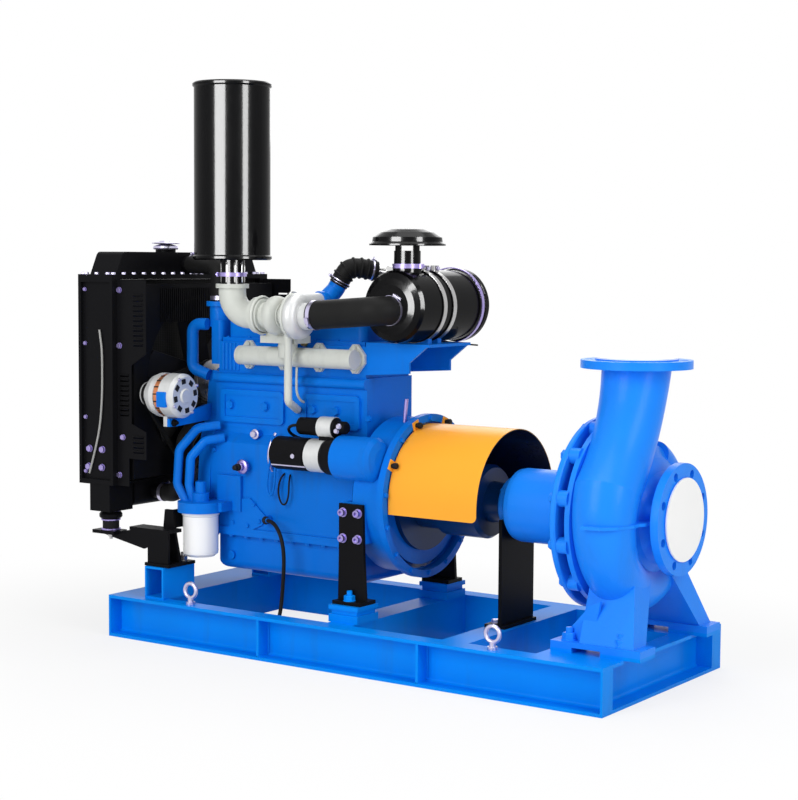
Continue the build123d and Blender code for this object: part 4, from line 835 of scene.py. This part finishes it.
tubeSetups = {
    "overflowTube": {
        "finish": "greyTube", "radius": 0.0032,
        "points": ((-0.826, -0.3435, 0.885), (-0.823, -0.3438, 0.868), (-0.8155, -0.344, 0.828),
                   (-0.815, -0.344, 0.75), (-0.817, -0.344, 0.685), (-0.8255, -0.344, 0.604),
                   (-0.848, -0.344, 0.528), (-0.869, -0.3435, 0.47))},
    "turboOilFeed": {
        "finish": "turnedSteel", "radius": 0.004,
        "points": ((-0.247, -0.215, 0.958), (-0.247, -0.212, 0.99), (-0.25, -0.18, 1.003),
                   (-0.262, -0.13, 0.98), (-0.268, -0.108, 0.93), (-0.268, -0.102, 0.85))},
    "dipstickTube": {
        "finish": "zincPlate", "radius": 0.0042,
        "points": ((-0.35, -0.134, 0.6), (-0.353, -0.148, 0.582), (-0.36, -0.153, 0.55),
                   (-0.364, -0.148, 0.515), (-0.364, -0.13, 0.492))},
    "dipstickLoop": {
        "finish": "enginePaint", "radius": 0.003,
        "points": ((-0.35, -0.146, 0.596), (-0.34, -0.153, 0.59), (-0.332, -0.156, 0.545),
                   (-0.334, -0.156, 0.47), (-0.344, -0.154, 0.43), (-0.358, -0.154, 0.424),
                   (-0.366, -0.154, 0.45), (-0.356, -0.156, 0.51), (-0.344, -0.156, 0.57),
                   (-0.35, -0.15, 0.592))},
    "liftLoop": {
        "finish": "hoseRubber", "radius": 0.0026,
        "points": ((-0.318, -0.133, 0.488), (-0.322, -0.146, 0.48), (-0.33, -0.15, 0.44),
                   (-0.318, -0.15, 0.404), (-0.3, -0.15, 0.402), (-0.29, -0.15, 0.432),
                   (-0.292, -0.147, 0.47), (-0.298, -0.133, 0.486))},
    "starterStay": {
        "finish": "zincPlate", "radius": 0.0024,
        "points": ((-0.286, -0.232, 0.526), (-0.24, -0.232, 0.526), (-0.17, -0.232, 0.526))},
    "starterLead": {
        "finish": "hoseRubber", "radius": 0.0042,
        "points": ((-0.212, -0.2, 0.636), (-0.235, -0.206, 0.636), (-0.262, -0.19, 0.622),
                   (-0.272, -0.165, 0.606), (-0.262, -0.14, 0.592), (-0.25, -0.128, 0.588))},
    "housingPost": {
        "finish": "violetZinc", "radius": 0.0052,
        "points": ((0.04, -0.06, 0.648), (0.041, -0.06, 0.67), (0.046, -0.06, 0.712))},
    "cleanerRod": {
        "finish": "blackSatin", "radius": 0.0022,
        "points": ((0.06, 0.08, 0.866), (0.085, 0.088, 0.861), (0.16, 0.12, 0.856))},
    "manifoldDrain": {
        "finish": "silverPaint", "radius": 0.0035,
        "points": ((-0.262, -0.15, 0.795), (-0.262, -0.152, 0.77), (-0.263, -0.15, 0.7),
                   (-0.263, -0.112, 0.69))},
}

for name, setup in tubeSetups.items():
    finishPiece(makeRod(name, setup["points"], setup["radius"]), name, setup["finish"], angle=50.0)

# Injector lines, from the pump on the far side to each cylinder
injectorSetup = {"radius": 0.003, "y": 0.168, "pumpX": [-0.445 + 0.05 * i for i in range(4)], "nutZ": 0.6}
injectorLines = []
for x0, x1 in zip(injectorSetup["pumpX"], blockSetup["cylinders"]):
    points = ((x0, injectorSetup["y"], 0.598), (x0, injectorSetup["y"], 0.64),
              (x0 + (x1 - x0) * 0.3, 0.186, 0.69), (x0 + (x1 - x0) * 0.8, 0.186, 0.74),
              (x1, 0.16, 0.762), (x1, 0.102, 0.775))
    injectorLines.append(makeRod("injectorLine", points, injectorSetup["radius"], 3))
finishPiece(joinAll(injectorLines), "injectorLines", "turnedSteel", angle=50.0)
injectorSpots = [(x, injectorSetup["y"], injectorSetup["nutZ"]) for x in injectorSetup["pumpX"]]
setCopies(hexNut, "injectorNuts", spotPlaces(injectorSpots, up, 0.8), "turnedSteel")
print("tubes ready")


# Turned fittings: a profile of radius and height, spun round its own line

def spinProfile(profile, sides=28):
    mesh = bpy.data.meshes.new("profile")
    mesh.from_pydata([(radius, 0.0, height) for radius, height in profile],
                     [(i, i + 1) for i in range(len(profile) - 1)], [])
    piece = bpy.data.objects.new("profile", mesh)
    bpy.context.collection.objects.link(piece)
    pickPiece(piece)
    setMode("EDIT")
    bpy.ops.mesh.select_all(action="SELECT")
    bpy.ops.mesh.spin(steps=sides, angle=math.radians(360.0), center=(0.0, 0.0, 0.0), axis=(0.0, 0.0, 1.0))
    bpy.ops.mesh.select_all(action="SELECT")
    bpy.ops.mesh.remove_doubles(threshold=0.00005)
    bpy.ops.mesh.normals_make_consistent(inside=False)
    setMode("OBJECT")
    return piece


knobSetup = {"x": 0.0873, "boltX": 0.064, "radius": 0.212, "angles": (-62.0, -20.0, 20.0, 62.0)}
knobSpots = [shaftPlace(knobSetup["x"], knobSetup["radius"], angle) for angle in knobSetup["angles"]]
bufferSetup = {"x": -0.8365, "y": 0.29, "cupZ": (0.3022, 0.33, 0.3565), "waistZ": 0.337, "nutZ": 0.292}
cupSpots = [(bufferSetup["x"], side * bufferSetup["y"], z) for side in (-1, 1) for z in bufferSetup["cupZ"]]
waistSpots = [(bufferSetup["x"], side * bufferSetup["y"], bufferSetup["waistZ"]) for side in (-1, 1)]

fittingSetups = {
    "pressureSwitch": {
        "finish": "violetZinc", "places": [((-0.455, -0.147, 0.5), near)],
        "profile": ((0.0, 0.0), (0.0195, 0.0), (0.0205, 0.002), (0.0205, 0.01), (0.018, 0.012),
                    (0.0125, 0.013), (0.0125, 0.022), (0.011, 0.024), (0.0, 0.024))},
    "switchCap": {
        "finish": "fanPlastic", "places": [((-0.455, -0.1705, 0.5), near)],
        "profile": ((0.0, 0.0), (0.0105, 0.0), (0.0105, 0.008), (0.0078, 0.01), (0.0078, 0.019),
                    (0.0035, 0.021), (0.0, 0.021))},
    "blockPlug": {
        "finish": "zincPlate", "places": [((-0.428, -0.1275, 0.593), near)],
        "profile": ((0.0, 0.0), (0.0135, 0.0), (0.014, 0.001), (0.014, 0.004), (0.0095, 0.005),
                    (0.0095, 0.013), (0.0082, 0.0145), (0.0, 0.0145))},
    "drainGland": {
        "finish": "fanPlastic", "places": [((-0.372, -0.1495, 0.353), (0.72, -0.65, 0.0))],
        "profile": ((0.0, -0.003), (0.0115, -0.003), (0.0115, 0.005), (0.0095, 0.007), (0.0095, 0.013),
                    (0.0066, 0.0165), (0.0, 0.0165))},
    "guardKnobs": {
        "finish": "fanPlastic", "places": [(spot, astern) for spot in knobSpots],
        "profile": ((0.0, 0.0), (0.0062, 0.0), (0.0062, 0.006), (0.0085, 0.007), (0.0085, 0.015),
                    (0.007, 0.017), (0.0, 0.0172))},
    "bufferCups": {
        "finish": "violetZinc", "places": [(spot, up) for spot in cupSpots],
        "profile": ((0.0, 0.0), (0.0272, 0.0), (0.0285, 0.001), (0.0285, 0.004), (0.0268, 0.0052),
                    (0.0, 0.0052))},
    "bufferWaists": {
        "finish": "blackSatin", "places": [(spot, up) for spot in waistSpots],
        "profile": ((0.0, 0.0), (0.03, 0.0), (0.0335, 0.004), (0.0335, 0.012), (0.029, 0.018),
                    (0.0, 0.018))},
    "solenoidEnd": {
        "finish": "blackSatin", "places": [((-0.089, -0.194, 0.636), astern)],
        "profile": ((0.0, 0.0), (0.0175, 0.0), (0.0175, 0.028), (0.015, 0.032), (0.0, 0.032))},
    "feedUnion": {
        "finish": "brassFitting",
        "places": [((-0.247, -0.215, 0.963), up), ((-0.268, -0.1035, 0.856), near)],
        "profile": ((0.0, 0.0), (0.0095, 0.0), (0.0095, 0.007), (0.0068, 0.009), (0.0068, 0.015),
                    (0.005, 0.0165), (0.0, 0.0165))},
    "turboBand": {
        "finish": "silverPaint", "places": [((-0.2265, -0.215, 0.935), astern)],
        "profile": ((0.0585, 0.0), (0.0625, 0.001), (0.064, 0.005), (0.0625, 0.009), (0.0585, 0.01),
                    (0.0585, 0.0))},
    "turbineBand": {
        "finish": "silverPaint", "places": [((-0.338, -0.215, 0.935), astern)],
        "profile": ((0.0495, 0.0), (0.053, 0.001), (0.0545, 0.005), (0.053, 0.009), (0.0495, 0.01),
                    (0.0495, 0.0))},
    "fillerCapTop": {
        "finish": "zincPlate", "places": [((-0.8365, -0.05, 1.1325), up)],
        "profile": ((0.0, 0.0), (0.03, 0.0), (0.0405, 0.0005), (0.0418, 0.0022), (0.0405, 0.0038),
                    (0.02, 0.006), (0.0165, 0.0092), (0.0, 0.0105))},
}

for name, setup in fittingSetups.items():
    pattern = spinProfile(setup["profile"])
    setCopies(pattern, name, [(place, along, 1.0) for place, along in setup["places"]], setup["finish"])
    bpy.data.objects.remove(pattern)
guardBolts = spotPlaces([(knobSetup["boltX"], y, z) for x, y, z in knobSpots], ahead, 0.75)
setCopies(hexBolt, "guardBolts", guardBolts, "violetZinc")
bufferNuts = [((bufferSetup["x"], -bufferSetup["y"], bufferSetup["nutZ"]), down, 1.0)]
setCopies(hexNut, "bufferNuts", onBothSides(bufferNuts), "turnedSteel")
starterSpots = [(-0.206, -0.2375, 0.554), (-0.071, -0.2105, 0.641), (-0.08, -0.209, 0.628)]
setCopies(hexBolt, "starterScrews", spotPlaces(starterSpots, near, 0.75), "zincPlate")
print("fittings ready")


# Sheet parts and pressed details: a slab, bevelled all round

def makeSlab(low, high, bevel):
    slab = addBlock(tuple((a + b) / 2 for a, b in zip(low, high)), tuple(b - a for a, b in zip(low, high)))
    setMode("EDIT")
    bpy.ops.mesh.select_all(action="SELECT")
    bpy.ops.mesh.bevel(offset=bevel, segments=2, affect="EDGES")
    setMode("OBJECT")
    return slab


def ringSlabs(setup, middle, axis):
    slabs = []
    for i in range(setup["count"]):
        slab = makeSlab(setup["low"], setup["high"], setup["bevel"])
        turn = math.radians(360.0 * i / setup["count"] + setup["start"])
        slab.matrix_world = Matrix.Translation(middle) @ Matrix.Rotation(turn, 4, axis)
        slabs.append(slab)
    return slabs


# Finger bars over the upper part of the fan shroud
barSetup = {"low": (-0.7222, -0.2, 0.905), "high": (-0.7192, -0.1965, 1.004), "bevel": 0.0007,
            "count": 31, "step": 0.0085}
bars = []
for i in range(barSetup["count"]):
    bar = makeSlab(barSetup["low"], barSetup["high"], barSetup["bevel"])
    bar.location = (0.0, barSetup["step"] * i, 0.0)
    bars.append(bar)
finishPiece(joinAll(bars), "shroudBars", "blackSatin")

# Rolled lip under each louvre of the side guards; a column is its two x, its lowest z and its count
louvreSetup = {"y": (-0.3335, -0.3295), "step": 0.014, "thick": 0.0035, "bevel": 0.0009,
               "columns": ((-0.708, -0.672, 0.8445, 11), (-0.76, -0.726, 0.6445, 9),
                           (-0.71, -0.67, 0.5405, 4))}
lips = []
for x0, x1, z0, count in louvreSetup["columns"]:
    for i in range(count):
        z = z0 + louvreSetup["step"] * i
        for side in (1.0, -1.0):
            y0, y1 = sorted(side * y for y in louvreSetup["y"])
            lips.append(makeSlab((x0, y0, z), (x1, y1, z + louvreSetup["thick"]), louvreSetup["bevel"]))
finishPiece(joinAll(lips), "louvreLips", "blackSatin")

# Vertical slots in the muffler's neck, where the pipe inside shows bright
neckSetup = {"low": (-0.0026, -0.035, 1.024), "high": (0.0026, -0.0328, 1.082), "bevel": 0.0006,
             "count": 9, "start": 12.0}
strips = ringSlabs(neckSetup, (-0.44, -0.215, 0.0), "Z")
finishPiece(joinAll(strips), "mufflerNeckSlots", "polishedPipe")

# Fan windows in the alternator's rear end, and the bars over its winding. The windows are thin black slabs,
# painted shade in place of the openings
alternatorSetup = {
    "end": (-0.573, -0.262, 0.702),
    "window": {"low": (-0.0009, -0.0085, 0.0345), "high": (0.0011, 0.0085, 0.049), "bevel": 0.0009,
               "count": 8, "start": 10.0},
    "bar": {"low": (-0.0685, -0.0018, 0.06), "high": (-0.0505, 0.0018, 0.0618), "bevel": 0.0005,
            "count": 18, "start": 4.0},
}
windows = ringSlabs(alternatorSetup["window"], alternatorSetup["end"], "X")
windows += ringSlabs(alternatorSetup["bar"], alternatorSetup["end"], "X")
finishPiece(joinAll(windows), "alternatorWindows", "fanPlastic")
strap = makeSlab((-0.626, -0.3275, 0.672), (-0.59, -0.318, 0.716), 0.003)
finishPiece(strap, "alternatorStrap", "enginePaint")
endScrews = ringPlaces(alternatorSetup["end"], 0.055, 4, astern, 0.45, 30.0)
setCopies(capScrew, "alternatorScrews", endScrews, "zincPlate")
setCopies(hexNut, "alternatorPivot", [((-0.618, -0.262, 0.624), astern, 1.0)], "blackSatin")

# Weld beads where the cross beams and stiffeners meet the rails: each run is y and z of its two ends
weldSetup = {"radius": 0.0032, "x": (-0.259, -0.251, 0.264, 0.272),
             "runs": (((-0.332, 0.0085), (-0.29, 0.0085)), ((-0.2885, 0.012), (-0.2885, 0.108)))}
beads = []
for first, last in weldSetup["runs"]:
    middle = tuple((a + b) / 2 for a, b in zip(first, last))
    for x in weldSetup["x"]:
        for side in (1.0, -1.0):
            points = [(x, side * y, z) for y, z in (first, middle, last)]
            beads.append(makeRod("bead", points, weldSetup["radius"], 2))
finishPiece(joinAll(beads), "weldBeads", "framePaint", angle=50.0)

for pattern in (hexBolt, hexNut, capScrew):
    bpy.data.objects.remove(pattern)
print("details ready")


# Floor and world

def seenDirectly(tree):
    path = tree.nodes.new("ShaderNodeLightPath")
    seen = Wire(path.outputs["Is Camera Ray"]) + Wire(path.outputs["Is Glossy Ray"])
    return seen + Wire(path.outputs["Is Transmission Ray"])


def makeFloor(setup):
    startPiece()
    bpy.ops.mesh.primitive_plane_add(size=setup["floorSize"], location=(0.0, 0.0, 0.0))
    floor = bpy.context.object
    floor.name = "studioFloor"
    material, tree = startMaterial("studioFloorPaper")
    reach = addNode(tree, "ShaderNodeVectorMath", {"operation": "LENGTH"},
                    {0: objectPlace(tree, setup["glowShape"])}, "Value")
    share = addNode(tree, "ShaderNodeMapRange", {"interpolation_type": "SMOOTHSTEP"},
                    {"Value": reach, "From Min": setup["glowReach"][0], "From Max": setup["glowReach"][1],
                     "To Min": setup["glowNear"], "To Max": 1.0}, "Result")
    paper = addNode(tree, "ShaderNodeBsdfDiffuse", {}, {"Color": setup["floorColour"]})
    glow = addNode(tree, "ShaderNodeEmission", {}, {"Color": setup["white"], "Strength": 1.0})
    mixed = addNode(tree, "ShaderNodeMixShader", {}, {0: seenDirectly(tree) * share, 1: paper, 2: glow})
    end = tree.nodes.new("ShaderNodeOutputMaterial")
    tree.links.new(mixed.socket, end.inputs["Surface"])
    floor.data.materials.append(material)


def makeWorld(setup):
    world = bpy.data.worlds.new("studioWorld")
    bpy.context.scene.world = world
    world.use_nodes = True
    tree = world.node_tree
    tree.nodes.clear()
    strength = setup["worldLight"] + seenDirectly(tree) * (1.0 - setup["worldLight"])
    glow = addNode(tree, "ShaderNodeBackground", {}, {"Color": setup["white"], "Strength": strength})
    end = tree.nodes.new("ShaderNodeOutputWorld")
    tree.links.new(glow.socket, end.inputs["Surface"])


placeCamera(cameraSetup)
placeLamps(lampSetup)
makeFloor(stageSetup)
makeWorld(stageSetup)
bpy.context.scene.view_settings.view_transform = "Standard"
print("stage ready")
